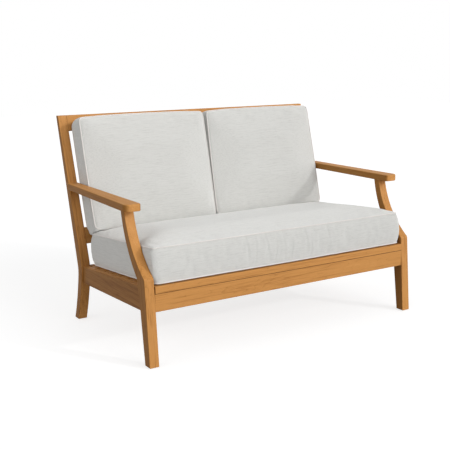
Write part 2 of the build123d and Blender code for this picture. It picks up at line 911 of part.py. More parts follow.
def make_ledger(side):
    """The strip on a side rail's inner face that the slats' ends lie on."""
    top_front = bearer_top(ledger_front_back)
    top_rear = bearer_top(ledger_rear_back)
    with BuildPart() as ledger:
        with BuildSketch(Plane.YZ.offset(side * (side_rail_inset - ledger_size))):
            with BuildLine():
                Polyline(
                    at(ledger_front_back, top_front - ledger_size), at(ledger_front_back, top_front),
                    at(ledger_rear_back, top_rear), at(ledger_rear_back, top_rear - ledger_size), close=True,
                )
            make_face()
        extrude(amount=side * ledger_size)
        cut_at(small_hole(ledger_screw_length), ledger_screw_places(side))
        cut_at(small_hole(slat_screw_length), slat_screw_places_at(side * ledger_middle))
    return ledger


def make_seat_slat(number):
    """A seat slat, let in between the side rails with its top on the seat plane."""
    half = side_rail_inset - seat_slat_end_gap
    with BuildPart() as slat:
        with Locations(on_seat(0, slat_middles[number], -seat_slat_thickness / 2)):
            Box(2 * half, seat_slat_width, seat_slat_thickness)
        fillet(slat.edges().filter_by(Axis.X), board_ease)
        cut_at(
            small_hole(slat_screw_length),
            [on_seat(across, slat_middles[number], -screw_sink) for across in slat_screw_columns],
        )
    return slat


# The leaning back

back_slat_low = lower_rail_low + lower_rail_height
back_slat_gap = (2 * leg_inset - back_slat_count * back_slat_width) / (back_slat_count + 1)
back_slat_middles = [
    -leg_inset + back_slat_gap + back_slat_width / 2 + slat * (back_slat_gap + back_slat_width)
    for slat in range(back_slat_count)
]


def back_slat_tenons(low, gap, mode):
    """The stubs of all back slats at one rail, from a start along the back, or with a gap their mortises."""
    length = back_slat_tenon_length + gap * end_gap / glue_gap
    start = low - length if low == back_slat_low else low
    places = [on_rest(middle, start + length / 2, -back_slat_thickness / 2) for middle in back_slat_middles]
    with Locations(*places):
        Box(back_slat_tenon_width + 2 * gap, length, back_slat_tenon_thickness + 2 * gap, mode=mode)


def make_crest_rail():
    """The crest rail between the tops of the posts, with its top edge level."""
    top_front = rest_back(overall_height)
    with BuildPart() as crest:
        with BuildSketch(Plane.YZ.offset(-leg_inset)):
            with BuildLine():
                Polyline(
                    rest_point(crest_low, 0), at(top_front, overall_height),
                    at(top_front + crest_thickness / rest_cos, overall_height),
                    rest_point(crest_low, -crest_thickness), close=True,
                )
            make_face()
        extrude(amount=2 * leg_inset)
        fillet(crest.edges().filter_by(Axis.X), board_ease)
        for side in (-1, 1):
            back_rail_tenon(side, crest_low, crest_height, crest_thickness, 0, Mode.ADD)
            cut_pegs(side, ("crest",))
        back_slat_tenons(crest_low, glue_gap, Mode.SUBTRACT)
    return crest


def make_lower_back_rail():
    """The lower rail of the back, square to the leaning plane."""
    with BuildPart() as rail:
        with BuildSketch(Plane.YZ.offset(-leg_inset)):
            with BuildLine():
                Polyline(
                    rest_point(lower_rail_low, 0), rest_point(back_slat_low, 0),
                    rest_point(back_slat_low, -lower_rail_thickness),
                    rest_point(lower_rail_low, -lower_rail_thickness), close=True,
                )
            make_face()
        extrude(amount=2 * leg_inset)
        fillet(rail.edges().filter_by(Axis.X), board_ease)
        for side in (-1, 1):
            back_rail_tenon(side, lower_rail_low, lower_rail_height, lower_rail_thickness, 0, Mode.ADD)
            cut_pegs(side, ("lower",))
        back_slat_tenons(back_slat_low, glue_gap, Mode.SUBTRACT)
    return rail


def make_back_slat(number):
    """A back slat with a stub at each end, let into the crest rail and the lower rail."""
    across = back_slat_middles[number]
    span = crest_low - back_slat_low
    stub_reach = span + 2 * back_slat_tenon_length
    with BuildPart() as slat:
        with Locations(on_rest(across, back_slat_low + span / 2, -back_slat_thickness / 2)):
            Box(back_slat_width, span, back_slat_thickness)
        long_edges = slat.edges().filter_by(lambda edge: edge.length > span - board_ease)
        fillet(long_edges, board_ease)
        with Locations(on_rest(across, back_slat_low + span / 2, -back_slat_thickness / 2)):
            Box(back_slat_tenon_width, stub_reach, back_slat_tenon_thickness)
    return slat


# Cushions: a sewn cover, a foam core inside it and a piping along its two long seams

def cushion_outline(shape, inset, corner):
    """One level of a cushion: four bowed sides with round corners, drawn in by inset."""
    low_left = (shape["left"][0] + inset, shape["low"] + inset)
    high_left = (shape["left"][1] + inset, shape["high"] - inset)
    high_right = (shape["right"][1] - inset, shape["high"] - inset)
    low_right = (shape["right"][0] - inset, shape["low"] + inset)
    with BuildSketch() as outline:
        with BuildLine():
            bowed(low_left, high_left, shape["bow_left"])
            bowed(high_left, high_right, shape["bow_high"])
            bowed(high_right, low_right, shape["bow_right"])
            bowed(low_right, low_left, shape["bow_low"])
        make_face()
        box = outline.sketch.bounding_box().size
        fillet(outline.vertices(), min(corner, corner_limit_share * min(box.X, box.Y) / 2))
    return outline.sketch


def cushion_stages(shape, wall):
    """The levels of a cushion as height and inset: its base, its boxing and its crown."""
    base = [
        (soft_gap + wall, heel_draw + wall),
        (shape["seam_low"], wall),
    ]
    boxing = [
        (shape["seam_low"], wall),
        ((shape["seam_low"] + shape["seam_high"]) / 2, wall - shape["swell"]),
        (shape["seam_high"], wall),
    ]
    reach = shape["crown_reach_share"] * (shape["high"] - shape["low"])
    crown = [
        (shape["seam_high"] + (shape["crown"] - wall) * rise, wall + reach * inset)
        for rise, inset in zip(crown_rise_shares, crown_inset_shares)
    ]
    return base, boxing, crown


def cushion_body(plane, shape, wall):
    """The closed form of a cushion, wall inside its cloth."""
    with BuildPart() as body:
        for stage in cushion_stages(shape, wall):
            for height, inset in stage:
                corner = shape["corner"] - wall + max(inset - wall, 0) * corner_opening_share
                with BuildSketch(plane.offset(height)):
                    add(cushion_outline(shape, inset, corner))
            loft()
    return body.part


def make_cover(plane, shape):
    """The sewn cover: a closed skin of cloth round the space for its core."""
    outside = cushion_body(plane, shape, 0)
    inside = cushion_body(plane, shape, cloth_thickness)
    with BuildPart() as cover:
        add(outside)
        add(inside, mode=Mode.SUBTRACT)
    return cover


def make_foam(plane, shape):
    """The foam core, a soft gap inside its cover."""
    core = cushion_body(plane, shape, cloth_thickness + soft_gap)
    with BuildPart() as foam:
        add(core)
    return foam


def make_piping(plane, shape):
    """The two cords of piping, just outside the seams between boxing and faces."""
    corner = shape["corner"] + piping_stand
    heights = (shape["seam_low"] - piping_stand, shape["seam_high"] + piping_stand)
    with BuildPart() as piping:
        for height in heights:
            seam = cushion_outline(shape, -piping_stand, corner).moved(plane.offset(height).location)
            with BuildLine() as path:
                add(seam.edges())
            start = path.line.edges().sort_by(SortBy.LENGTH)[-1]
            with BuildSketch(Plane(origin=start @ 0.5, z_dir=start % 0.5)):
                Circle(piping_radius)
            sweep(path=path.wire())
    return piping


seat_cushion_shape = {
    "left": (-seat_cushion_half, -seat_cushion_half), "right": (seat_cushion_half, seat_cushion_half),
    "low": seat_cushion_front, "high": seat_cushion_rear,
    "bow_left": seat_cushion_side_bow, "bow_right": seat_cushion_side_bow,
    "bow_low": seat_cushion_front_bow, "bow_high": seat_cushion_rear_bow,
    "corner": seat_cushion_corner, "seam_low": seat_seam_low, "seam_high": seat_seam_high,
    "crown": seat_cushion_crown, "crown_reach_share": seat_crown_reach_share, "swell": seat_boxing_swell,
}


def back_cushion_shape(side):
    """The outline of the left, -1, or right, 1, back cushion. The two lean apart a little at their tops."""
    outer = (side * back_cushion_outer, side * back_cushion_outer)
    inner = (side * back_cushion_inner_low, side * back_cushion_inner_high)
    return {
        "left": outer if side < 0 else inner, "right": inner if side < 0 else outer,
        "low": back_cushion_low, "high": back_cushion_high,
        "bow_left": back_cushion_side_bow, "bow_right": back_cushion_side_bow,
        "bow_low": back_cushion_low_bow, "bow_high": back_cushion_high_bow,
        "corner": back_cushion_corner, "seam_low": back_seam_rear, "seam_high": back_seam_front,
        "crown": back_cushion_crown, "crown_reach_share": back_crown_reach_share, "swell": back_boxing_swell,
    }


# Fastener groups

def make_joint_pegs():
    """All the pegs that lock the tenons."""
    with BuildPart() as pegs:
        for side in (-1, 1):
            for joint, place in peg_places(side).items():
                with Locations(place):
                    Cylinder(peg_radius, peg_length_of(joint), align=(Align.CENTER, Align.CENTER, Align.MAX))
    return pegs


def make_arm_plugs():
    """The wood plugs over the arm screws, trimmed flush with the backs of the posts."""
    with BuildPart() as plugs:
        for side in (-1, 1):
            with Locations(arm_screw_place(side) * Pos(0, 0, overrun)):
                Cylinder(arm_plug_radius, overrun - drill_gap, align=(Align.CENTER, Align.CENTER, Align.MAX))
        split(bisect_by=post_back_plane, keep=Keep.BOTTOM)
    return plugs


def make_foot_glides():
    """The four glides: a disc under each foot on a short pin."""
    with BuildPart() as glides:
        for place in glide_places:
            with Locations(place):
                Cylinder(glide_radius, glide_thickness, align=(Align.CENTER, Align.CENTER, Align.MAX))
                Cylinder(glide_pin_radius, glide_pin_length, align=(Align.CENTER, Align.CENTER, Align.MIN))
    return glides


# Making every piece

side_names = {-1: "left", 1: "right"}

for side, side_name in side_names.items():
    hand_in(make_front_leg(side), f"front_leg_{side_name}")
    hand_in(make_back_post(side), f"back_post_{side_name}")
    hand_in(make_arm(side), f"arm_{side_name}")
    hand_in(make_side_rail(side), f"side_rail_{side_name}")
    hand_in(make_ledger(side), f"slat_ledger_{side_name}")

hand_in(make_front_rail(), "front_rail")
hand_in(make_cap_board(), "front_cap_board")
hand_in(make_rear_rail(), "rear_rail")
hand_in(make_bearer(), "seat_bearer")
hand_in(make_crest_rail(), "crest_rail")
hand_in(make_lower_back_rail(), "lower_back_rail")

for number in range(seat_slat_count):
    hand_in(make_seat_slat(number), f"seat_slat_{number + 1}")

for number in range(back_slat_count):
    hand_in(make_back_slat(number), f"back_slat_{number + 1}")

all_slat_screws = [place for across in slat_screw_columns for place in slat_screw_places_at(across)]
all_ledger_screws = ledger_screw_places(-1) + ledger_screw_places(1)
hand_in(group_of(small_screw(slat_screw_length), all_slat_screws), "slat_screws")
hand_in(group_of(small_screw(cap_screw_length), cap_screw_places), "cap_screws")
hand_in(group_of(small_screw(ledger_screw_length), all_ledger_screws), "ledger_screws")
hand_in(group_of(arm_screw, [arm_screw_place(side) for side in side_names]), "arm_screws")
hand_in(make_arm_plugs(), "arm_plugs")
hand_in(make_joint_pegs(), "joint_pegs")
hand_in(make_foot_glides(), "foot_glides")

cushions = [("seat_cushion", seat_plane, seat_cushion_shape)]
for side, side_name in side_names.items():
    cushions.append((f"back_cushion_{side_name}", rest_plane, back_cushion_shape(side)))

for name, plane, shape in cushions:
    hand_in(make_cover(plane, shape), f"{name}_cover")
    hand_in(make_foam(plane, shape), f"{name}_foam")
    hand_in(make_piping(plane, shape), f"{name}_piping")
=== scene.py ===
# %% [markdown] # A patio loveseat, dressed for the camera  The hardwood frame arrives ready made, as
# separate solids in metres. This lesson gives it its timber, sews and stuffs the three cushions, cords
# their seams, and sets up the camera and the light.

import math

import bpy
import numpy as np
from mathutils import Matrix, Vector
from mathutils.bvhtree import BVHTree


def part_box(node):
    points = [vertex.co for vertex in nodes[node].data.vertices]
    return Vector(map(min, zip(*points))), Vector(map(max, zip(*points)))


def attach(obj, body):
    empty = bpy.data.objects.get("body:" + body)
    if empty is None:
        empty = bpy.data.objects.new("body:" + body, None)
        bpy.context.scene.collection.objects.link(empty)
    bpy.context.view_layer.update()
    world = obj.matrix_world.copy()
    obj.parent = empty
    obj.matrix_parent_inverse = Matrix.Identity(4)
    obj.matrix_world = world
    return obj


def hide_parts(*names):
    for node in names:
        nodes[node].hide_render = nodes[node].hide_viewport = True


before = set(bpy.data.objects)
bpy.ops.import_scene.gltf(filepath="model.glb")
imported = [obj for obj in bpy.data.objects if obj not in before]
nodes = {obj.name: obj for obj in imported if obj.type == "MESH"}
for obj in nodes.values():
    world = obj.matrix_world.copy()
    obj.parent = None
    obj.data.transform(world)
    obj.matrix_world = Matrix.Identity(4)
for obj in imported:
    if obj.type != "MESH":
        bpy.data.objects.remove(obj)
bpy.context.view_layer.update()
scene = bpy.context.scene

# %% [markdown]
# The camera stands in front and to the left, a little above the arms, and looks slightly down.
# It could be placed by eye. Here its place, turn, tilt and lens were worked out from the corners of
# the frame, so the joinery lands where the photographer saw it.

# %% Set the camera
camera_place = Vector((-1.99534, -3.1006, 1.19599))
camera_turn = math.radians(31.951)
camera_tilt = math.radians(12.051)
camera_roll = math.radians(0.412)
lens_mm = 65.66
sensor_mm = 36.0


def look_matrix(place, turn, tilt, roll):
    """The camera's matrix from its turn to the right, its tilt down and its roll."""
    ahead = Vector((
        math.sin(turn) * math.cos(tilt), math.cos(turn) * math.cos(tilt), -math.sin(tilt),
    ))
    level = Vector((math.cos(turn), -math.sin(turn), 0.0))
    down = ahead.cross(level)
    across = level * math.cos(roll) + down * math.sin(roll)
    up = level * math.sin(roll) - down * math.cos(roll)
    turned = Matrix((across, up, -ahead)).transposed().to_4x4()
    return Matrix.Translation(place) @ turned


camera_data = bpy.data.cameras.new("camera")
camera_data.lens = lens_mm
camera_data.sensor_width = sensor_mm
camera = bpy.data.objects.new("camera", camera_data)
camera.matrix_world = look_matrix(camera_place, camera_turn, camera_tilt, camera_roll)
scene.collection.objects.link(camera)
scene.camera = camera
scene.view_settings.view_transform = "Standard"
print("camera at", [round(v, 3) for v in camera_place])

# %% [markdown]
# The photograph has soft light from the front and the right. A broad lamp gives it, a crisp one from
# nearly the same side draws the arm's shadow on the right back cushion, and a weak one on the left
# keeps the cushions' left ends from going grey. One small hard lamp could do it all, but then every
# edge would throw a black shadow. The white behind the loveseat could be a bright room, but that would
# wash out the shaded sides. So a weak sky fills the shade, and only where it is seen directly, or in
# polish or glass, is it plain white.

# %% Light the loveseat
sky_fill = 0.43
sky_colour = (0.98, 0.99, 1.0, 1.0)
plain_white = (1.0, 1.0, 1.0, 1.0)
broad_strength = 1.78
broad_spread = math.radians(50.0)
broad_from = Vector((0.36, -0.88, 0.31))
crisp_strength = 0.70
crisp_spread = math.radians(3.0)
crisp_from = Vector((0.52, -0.76, 0.40))
side_strength = 0.72
side_spread = math.radians(60.0)
side_from = Vector((-0.90, -0.10, 0.30))


def link(tree, from_socket, to_socket):
    """Joins two sockets of a node tree."""
    tree.links.new(from_socket, to_socket)


def seen_directly(tree):
    """A value that is one for the camera's own rays and for what polish or glass shows of the room."""
    path = tree.nodes.new("ShaderNodeLightPath")
    value = path.outputs["Is Camera Ray"]
    for name in ("Is Glossy Ray", "Is Transmission Ray"):
        larger = tree.nodes.new("ShaderNodeMath")
        larger.operation = "MAXIMUM"
        link(tree, value, larger.inputs[0])
        link(tree, path.outputs[name], larger.inputs[1])
        value = larger.outputs[0]
    return value


def light_sky():
    """A weak sky that fills the shade, and is plain white where it is seen directly."""
    world = bpy.data.worlds.new("sky")
    scene.world = world
    world.use_nodes = True
    tree = world.node_tree
    tree.nodes.clear()
    out = tree.nodes.new("ShaderNodeOutputWorld")
    mix = tree.nodes.new("ShaderNodeMixShader")
    fill = tree.nodes.new("ShaderNodeBackground")
    white = tree.nodes.new("ShaderNodeBackground")
    fill.inputs["Color"].default_value = sky_colour
    fill.inputs["Strength"].default_value = sky_fill
    white.inputs["Color"].default_value = plain_white
    link(tree, seen_directly(tree), mix.inputs[0])
    link(tree, fill.outputs[0], mix.inputs[1])
    link(tree, white.outputs[0], mix.inputs[2])
    link(tree, mix.outputs[0], out.inputs[0])


def hang_lamp(name, strength, spread, shines_from):
    """A distant lamp: its spread makes its shadows soft."""
    lamp = bpy.data.lights.new(name, "SUN")
    lamp.energy = strength
    lamp.angle = spread
    holder = bpy.data.objects.new(name, lamp)
    holder.rotation_mode = "QUATERNION"
    holder.rotation_quaternion = shines_from.to_track_quat("Z", "Y")
    scene.collection.objects.link(holder)


light_sky()
hang_lamp("broad_lamp", broad_strength, broad_spread, broad_from)
hang_lamp("crisp_lamp", crisp_strength, crisp_spread, crisp_from)
hang_lamp("side_lamp", side_strength, side_spread, side_from)
print("sky of strength", sky_fill, "and lamps of", broad_strength, crisp_strength, side_strength)

# %% [markdown]
# The photograph shows only white under the feet. With no floor at all the loveseat would hang in the
# air, so it stands on a wide matt sheet that keeps a faint shadow. A white sheet would throw too much
# light up under the rails. This one is darker, and a glow lifts it to white where it is seen directly.

# %% Lay the floor
floor_half = 12.0
floor_tone = 0.42
floor_lift = 0.74


def lay_floor():
    """A wide floor that keeps the shadow and is white to the camera elsewhere."""
    mesh = bpy.data.meshes.new("floor")
    corners = [(-floor_half, -floor_half, 0), (floor_half, -floor_half, 0),
               (floor_half, floor_half, 0), (-floor_half, floor_half, 0)]
    mesh.from_pydata(corners, [], [(0, 1, 2, 3)])
    floor = bpy.data.objects.new("floor", mesh)
    scene.collection.objects.link(floor)
    pale = bpy.data.materials.new("pale_floor")
    pale.use_nodes = True
    tree = pale.node_tree
    tree.nodes.clear()
    out = tree.nodes.new("ShaderNodeOutputMaterial")
    add = tree.nodes.new("ShaderNodeAddShader")
    matt = tree.nodes.new("ShaderNodeBsdfDiffuse")
    lift = tree.nodes.new("ShaderNodeEmission")
    amount = tree.nodes.new("ShaderNodeMath")
    amount.operation = "MULTIPLY"
    amount.inputs[1].default_value = floor_lift
    matt.inputs["Color"].default_value = (floor_tone, floor_tone, floor_tone, 1.0)
    link(tree, seen_directly(tree), amount.inputs[0])
    link(tree, amount.outputs[0], lift.inputs["Strength"])
    link(tree, matt.outputs[0], add.inputs[0])
    link(tree, lift.outputs[0], add.inputs[1])
    link(tree, add.outputs[0], out.inputs[0])
    mesh.materials.append(pale)


lay_floor()
print("floor of", 2 * floor_half, "m a side")

# %% [markdown]
# Each finish below is a small tree of nodes: noises stretched along a board or a thread, ramps that
# turn a value into a colour, and relief. Every node could be added and linked by hand, but that takes
# three lines a node. This short class gives them plain words, so that a finish reads like a recipe.

# %% Tools for a finish
class Maker:
    """Short words for building a material's nodes."""

    def __init__(self, name):
        self.material = bpy.data.materials.new(name)
        self.material.use_nodes = True
        self.tree = self.material.node_tree
        self.shader = self.tree.nodes["Principled BSDF"]

    def node(self, kind, **settings):
        """A node of a kind, with its settings."""
        made = self.tree.nodes.new(kind)
        for key, value in settings.items():
            setattr(made, key, value)
        return made

    def join(self, a, b):
        """Links socket a to socket b."""
        self.tree.links.new(a, b)

    def give(self, socket, value):
        """Feeds a socket from another socket, or with a plain value."""
        if isinstance(value, bpy.types.NodeSocket):
            self.join(value, socket)
        else:
            socket.default_value = value

    def place(self):
        """The piece's own directions, so that a figure stays on its board when it moves."""
        return self.node("ShaderNodeTexCoord").outputs["Object"]

    def sideways(self):
        """How far a face looks to the left or to the right, from 0 to 1."""
        facing = self.node("ShaderNodeSeparateXYZ")
        self.join(self.node("ShaderNodeNewGeometry").outputs["Normal"], facing.inputs[0])
        return self.sum(facing.outputs[0], 0.0, "ABSOLUTE")

    def mapped(self, vector, scale, turn=(0, 0, 0), shift=(0, 0, 0)):
        """A vector after a shift, a turn and a stretch."""
        turned = self.node("ShaderNodeMapping")
        turned.inputs["Location"].default_value = shift
        turned.inputs["Rotation"].default_value = turn
        self.join(vector, turned.inputs["Vector"])
        stretched = self.node("ShaderNodeMapping")
        stretched.inputs["Scale"].default_value = scale
        self.join(turned.outputs[0], stretched.inputs["Vector"])
        return stretched.outputs[0]

    def noise(self, vector, detail=2.0, rough=0.5, warp=0.0):
        """A noise value whose scale lies in its vector."""
        made = self.node("ShaderNodeTexNoise")
        made.inputs["Scale"].default_value = 1.0
        made.inputs["Detail"].default_value = detail
        made.inputs["Roughness"].default_value = rough
        made.inputs["Distortion"].default_value = warp
        self.join(vector, made.inputs["Vector"])
        return made.outputs[0]

    def ramp(self, value, stops):
        """A colour ramp through (place, colour) stops."""
        made = self.node("ShaderNodeValToRGB")
        made.color_ramp.elements[0].position = stops[0][0]
        made.color_ramp.elements[0].color = stops[0][1]
        made.color_ramp.elements[1].position = stops[-1][0]
        made.color_ramp.elements[1].color = stops[-1][1]
        for place, colour in stops[1:-1]:
            made.color_ramp.elements.new(place).color = colour
        self.join(value, made.inputs[0])
        return made.outputs[0]

    def blend(self, factor, a, b, how="MIX"):
        """Two colours blended."""
        made = self.node("ShaderNodeMix", data_type="RGBA", blend_type=how)
        self.give(made.inputs[0], factor)
        self.give(made.inputs[6], a)
        self.give(made.inputs[7], b)
        return made.outputs[2]

    def sum(self, a, b, how="ADD"):
        """Two values put together."""
        made = self.node("ShaderNodeMath", operation=how)
        self.give(made.inputs[0], a)
        self.give(made.inputs[1], b)
        return made.outputs[0]

    def share(self, value, part):
        """A part of a value."""
        return self.sum(value, part, "MULTIPLY")

    def span(self, value, low, high, new_low, new_high):
        """A value moved from one range to another, and held there."""
        made = self.node("ShaderNodeMapRange")
        for socket, number in zip(made.inputs[1:5], (low, high, new_low, new_high)):
            socket.default_value = number
        self.join(value, made.inputs[0])
        return made.outputs[0]

    def bump(self, height, distance, strength):
        """Relief from a height, onto the shader."""
        made = self.node("ShaderNodeBump")
        made.inputs["Strength"].default_value = strength
        made.inputs["Distance"].default_value = distance
        self.join(height, made.inputs["Height"])
        self.join(made.outputs[0], self.shader.inputs["Normal"])


def paint(node_name, material):
    """Gives a node of the frame its one material."""
    slots = nodes[node_name].data.materials
    slots.clear()
    slots.append(material)


print("words for a finish:", [word for word in vars(Maker) if not word.startswith("_")])

# %% [markdown]
# The frame is a golden brown hardwood with a satin oil finish. Its figure is made of growth rings cut
# at a slant, broad bands, fine fibres and short dark pores, all drawn out along the board. A picture of
# wood could be wrapped on, but it would repeat and blur. Here each is a noise in the board's own
# directions, so it runs through the board and comes out right on every face.
# Faces that look left or right are far darker than plain light makes them, so painted shade darkens
# and warms the finish there. The cap board's lowest edge gets a painted shadow line above its joint.

# %% Timber
timber_dark = (0.345, 0.143, 0.036, 1.0)
timber_mid = (0.545, 0.253, 0.072, 1.0)
timber_light = (0.660, 0.336, 0.110, 1.0)
timber_pore = (0.200, 0.075, 0.019, 1.0)
wander_stretch = (1.6, 9.0, 9.0)
ring_stretch = (1.9, 15.0, 15.0)
band_stretch = (1.1, 46.0, 46.0)
fibre_stretch = (7.0, 330.0, 330.0)
pore_stretch = (38.0, 900.0, 900.0)
wander_share = 0.30
ring_count = 15.0
ring_sharpness = 6.0
ring_share = 0.08
band_share = 0.50
band_rough = 0.55
band_warp = 0.9
fibre_share = 0.50
fibre_rough = 0.6
figure_stops = ((0.28, timber_dark), (0.46, timber_mid), (0.55, timber_mid), (0.74, timber_light))
figure_range = (0.3, 0.7)
pore_range = (0.64, 0.76)
pore_share = 0.45
satin_range = (0.60, 0.48)
timber_gloss = 0.13
grain_relief = 0.0004
grain_strength = 0.6
# Painted shade for faces that look left or right: where it starts and ends, the share of colour kept, its
# warm tint.
painted_side_shade_range = (0.35, 0.85)
painted_side_shade_share = 0.52
painted_side_shade_tint = (1.0, 0.93, 0.70, 1.0)
# Painted shadow line just above the cap board's joint: its width, its fade and the share of colour kept.
joint_shadow_width = 0.0019
joint_shadow_fade = 1.5
joint_shadow_share = 0.12


def growth_rings(wood, grain):
    """Late growth: each ring darkens slowly and ends in a sharp line."""
    drift = wood.noise(grain(ring_stretch))
    rings = wood.sum(wood.share(drift, ring_count), 0.0, "FRACT")
    return wood.sum(rings, ring_sharpness, "POWER")


def board_figure(wood, grain):
    """Broad bands and fine fibres, as one value."""
    bands = wood.noise(grain(band_stretch), 4.0, band_rough, band_warp)
    fibres = wood.noise(grain(fibre_stretch), 3.0, fibre_rough)
    return wood.sum(wood.share(bands, band_share), wood.share(fibres, fibre_share))


def figure_colour(wood, grain, figure, tone):
    """The colour of the figure, with a slow wander of tone along the board and its dark rings."""
    wander = wood.share(wood.noise(grain(wander_stretch)), wander_share)
    lifted = wood.sum(figure, wood.sum(wander, tone - wander_share / 2))
    lifted = wood.sum(lifted, wood.share(growth_rings(wood, grain), ring_share), "SUBTRACT")
    return wood.ramp(lifted, figure_stops)


def painted_joint_shadow(wood, place, joint_up):
    """Painted shadow: the share of its colour that a board keeps just above a joint at the height joint_up.
    """
    height = wood.node("ShaderNodeSeparateXYZ")
    wood.join(place, height.inputs[0])
    above = wood.sum(height.outputs[2], joint_up, "SUBTRACT")
    return wood.span(above, joint_shadow_width, joint_shadow_width * joint_shadow_fade, joint_shadow_share, 1.0)


def timber(name, turn, shift, tone, joint_up=None):
    """Oiled hardwood for one board: turn lays its grain along X, shift picks its place in the tree.

    A tone above zero is paler. Faces that look left or right get painted shade, darker and warmer.
    With joint_up, the board gets a painted shadow line just above the joint at that height.
    """
    wood = Maker(name)
    place = wood.place()

    def grain(stretch):
        return wood.mapped(place, stretch, turn, shift)

    figure = board_figure(wood, grain)
    pore = wood.span(wood.noise(grain(pore_stretch)), *pore_range, 0.0, pore_share)
    colour = wood.blend(pore, figure_colour(wood, grain, figure, tone), timber_pore)
    # Painted shade: faces that look left or right are darkened and warmed, and kept holds the share left.
    sideways = wood.sideways()
    shade_warmed = wood.blend(1.0, colour, painted_side_shade_tint, "MULTIPLY")
    colour = wood.blend(wood.span(sideways, *painted_side_shade_range, 0.0, 1.0), colour, shade_warmed)
    kept = wood.span(sideways, *painted_side_shade_range, 1.0, painted_side_shade_share)
    if joint_up is not None:
        kept = wood.share(kept, painted_joint_shadow(wood, place, joint_up))
    dim = wood.node("ShaderNodeVectorMath", operation="SCALE")
    wood.join(colour, dim.inputs[0])
    wood.join(kept, dim.inputs["Scale"])
    wood.join(dim.outputs[0], wood.shader.inputs["Base Color"])
    wood.join(wood.span(figure, *figure_range, *satin_range), wood.shader.inputs["Roughness"])
    wood.shader.inputs["Specular IOR Level"].default_value = timber_gloss
    wood.bump(wood.sum(figure, pore, "SUBTRACT"), grain_relief, grain_strength)
    return wood.material


print("timber figure: rings", ring_stretch, "bands", band_stretch, "fibres", fibre_stretch)

# %% [markdown]
# The grain of a board runs along its length: across for rails and slats, front to back for arms and
# side rails, and up for legs and posts. One material for all of them would look like a print wrapped
# round a block, so each board gets its own copy of the timber, turned along the board and shifted to
# its own place in the tree. The turns could be read from each board's box, but legs and posts lean,
# so they are written down. Side rails, posts and legs get a darker tone as painted shade, since their
# faces are seen in shade.

# %% Give each board its own timber
rest_lean = math.radians(17.43)
post_lean = math.radians(15.4)
leg_lean = math.radians(8.0)
along_x = (0.0, 0.0, 0.0)
along_y = (0.0, 0.0, -math.pi / 2)
board_step = (0.37, 0.113, 0.071)
tone_steps = (0.0, 0.03, -0.025, 0.012, -0.012)
# Painted shade: these boards get a darker tone because their faces are seen in shade.
painted_shade_boards = {"side_rail_left": -0.07, "side_rail_right": -0.05, "back_post_left": -0.06,
                 "back_post_right": -0.04, "front_leg_left": -0.02, "front_leg_right": -0.03}


def along_up(lean):
    """The turn that lays an upright board's grain along X, for a board that leans back."""
    return (lean, math.pi / 2, 0.0)


board_turns = {
    "front_leg_left": along_up(leg_lean), "front_leg_right": along_up(leg_lean),
    "back_post_left": along_up(post_lean), "back_post_right": along_up(post_lean),
    "arm_left": along_y, "arm_right": along_y,
    "side_rail_left": along_y, "side_rail_right": along_y,
    "slat_ledger_left": along_y, "slat_ledger_right": along_y, "seat_bearer": along_y,
    "front_rail": along_x, "front_cap_board": along_x, "rear_rail": along_x,
    "crest_rail": along_x, "lower_back_rail": along_x,
}
for node_name in nodes:
    if node_name.startswith("seat_slat_"):
        board_turns[node_name] = along_x
    if node_name.startswith("back_slat_"):
        board_turns[node_name] = along_up(rest_lean)

cap_joint_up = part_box("front_cap_board")[0][2]
for number, (node_name, turn) in enumerate(sorted(board_turns.items())):
    shift = [step * number for step in board_step]
    tone = painted_shade_boards.get(node_name, tone_steps[number % len(tone_steps)])
    # Only the cap board gets the painted shadow line, just above its joint.
    joint_up = cap_joint_up if node_name == "front_cap_board" else None
    paint(node_name, timber("timber_" + node_name, turn, shift, tone, joint_up))
print("boards with their own timber:", len(board_turns))

# %% [markdown]
# Pegs and plugs show their end grain, so they read as small darker dots on the posts and legs.
# The screws are plain stainless, hidden under the cushions, and the feet stand on dark nylon glides.
# One grey for all of these would do from afar, but close up each has its own specks, rings or scuffs.

# %% Pegs, screws and glides
peg_dark = (0.200, 0.080, 0.024, 1.0)
peg_light = (0.330, 0.145, 0.045, 1.0)
peg_stops = ((0.35, peg_dark), (0.65, peg_light))
peg_speck_stretch = (700.0, 700.0, 700.0)
peg_roughness = 0.6
steel_dark = (0.42, 0.42, 0.41, 1.0)
steel_light = (0.66, 0.66, 0.65, 1.0)
steel_range = (0.3, 0.7)
steel_stops = ((steel_range[0], steel_dark), (steel_range[1], steel_light))
steel_roughness = (0.28, 0.42)
turning_stretch = (300.0, 300.0, 2600.0)
nylon_dark = (0.018, 0.016, 0.014, 1.0)
nylon_light = (0.040, 0.036, 0.032, 1.0)
nylon_stops = ((0.4, nylon_dark), (0.7, nylon_light))
nylon_roughness = (0.45, 0.65)
scuff_stretch = (260.0, 260.0, 260.0)
scuff_rough = 0.6
scuff_range = (0.3, 0.7)
small_relief = 0.0002
speck_strength = 0.5
scuff_strength = 0.4


def end_grain(name):
    """The darker cut end of a hardwood dowel."""
    wood = Maker(name)
    specks = wood.noise(wood.mapped(wood.place(), peg_speck_stretch))
    wood.join(wood.ramp(specks, peg_stops), wood.shader.inputs["Base Color"])
    wood.shader.inputs["Roughness"].default_value = peg_roughness
    wood.bump(specks, small_relief, speck_strength)
    return wood.material


def plain_steel(name):
    """Turned stainless: faint rings of machining, a satin shine."""
    steel = Maker(name)
    turning = steel.noise(steel.mapped(steel.place(), turning_stretch))
    steel.join(steel.ramp(turning, steel_stops), steel.shader.inputs["Base Color"])
    steel.join(steel.span(turning, *steel_range, *steel_roughness), steel.shader.inputs["Roughness"])
    steel.shader.inputs["Metallic"].default_value = 1.0
    return steel.material


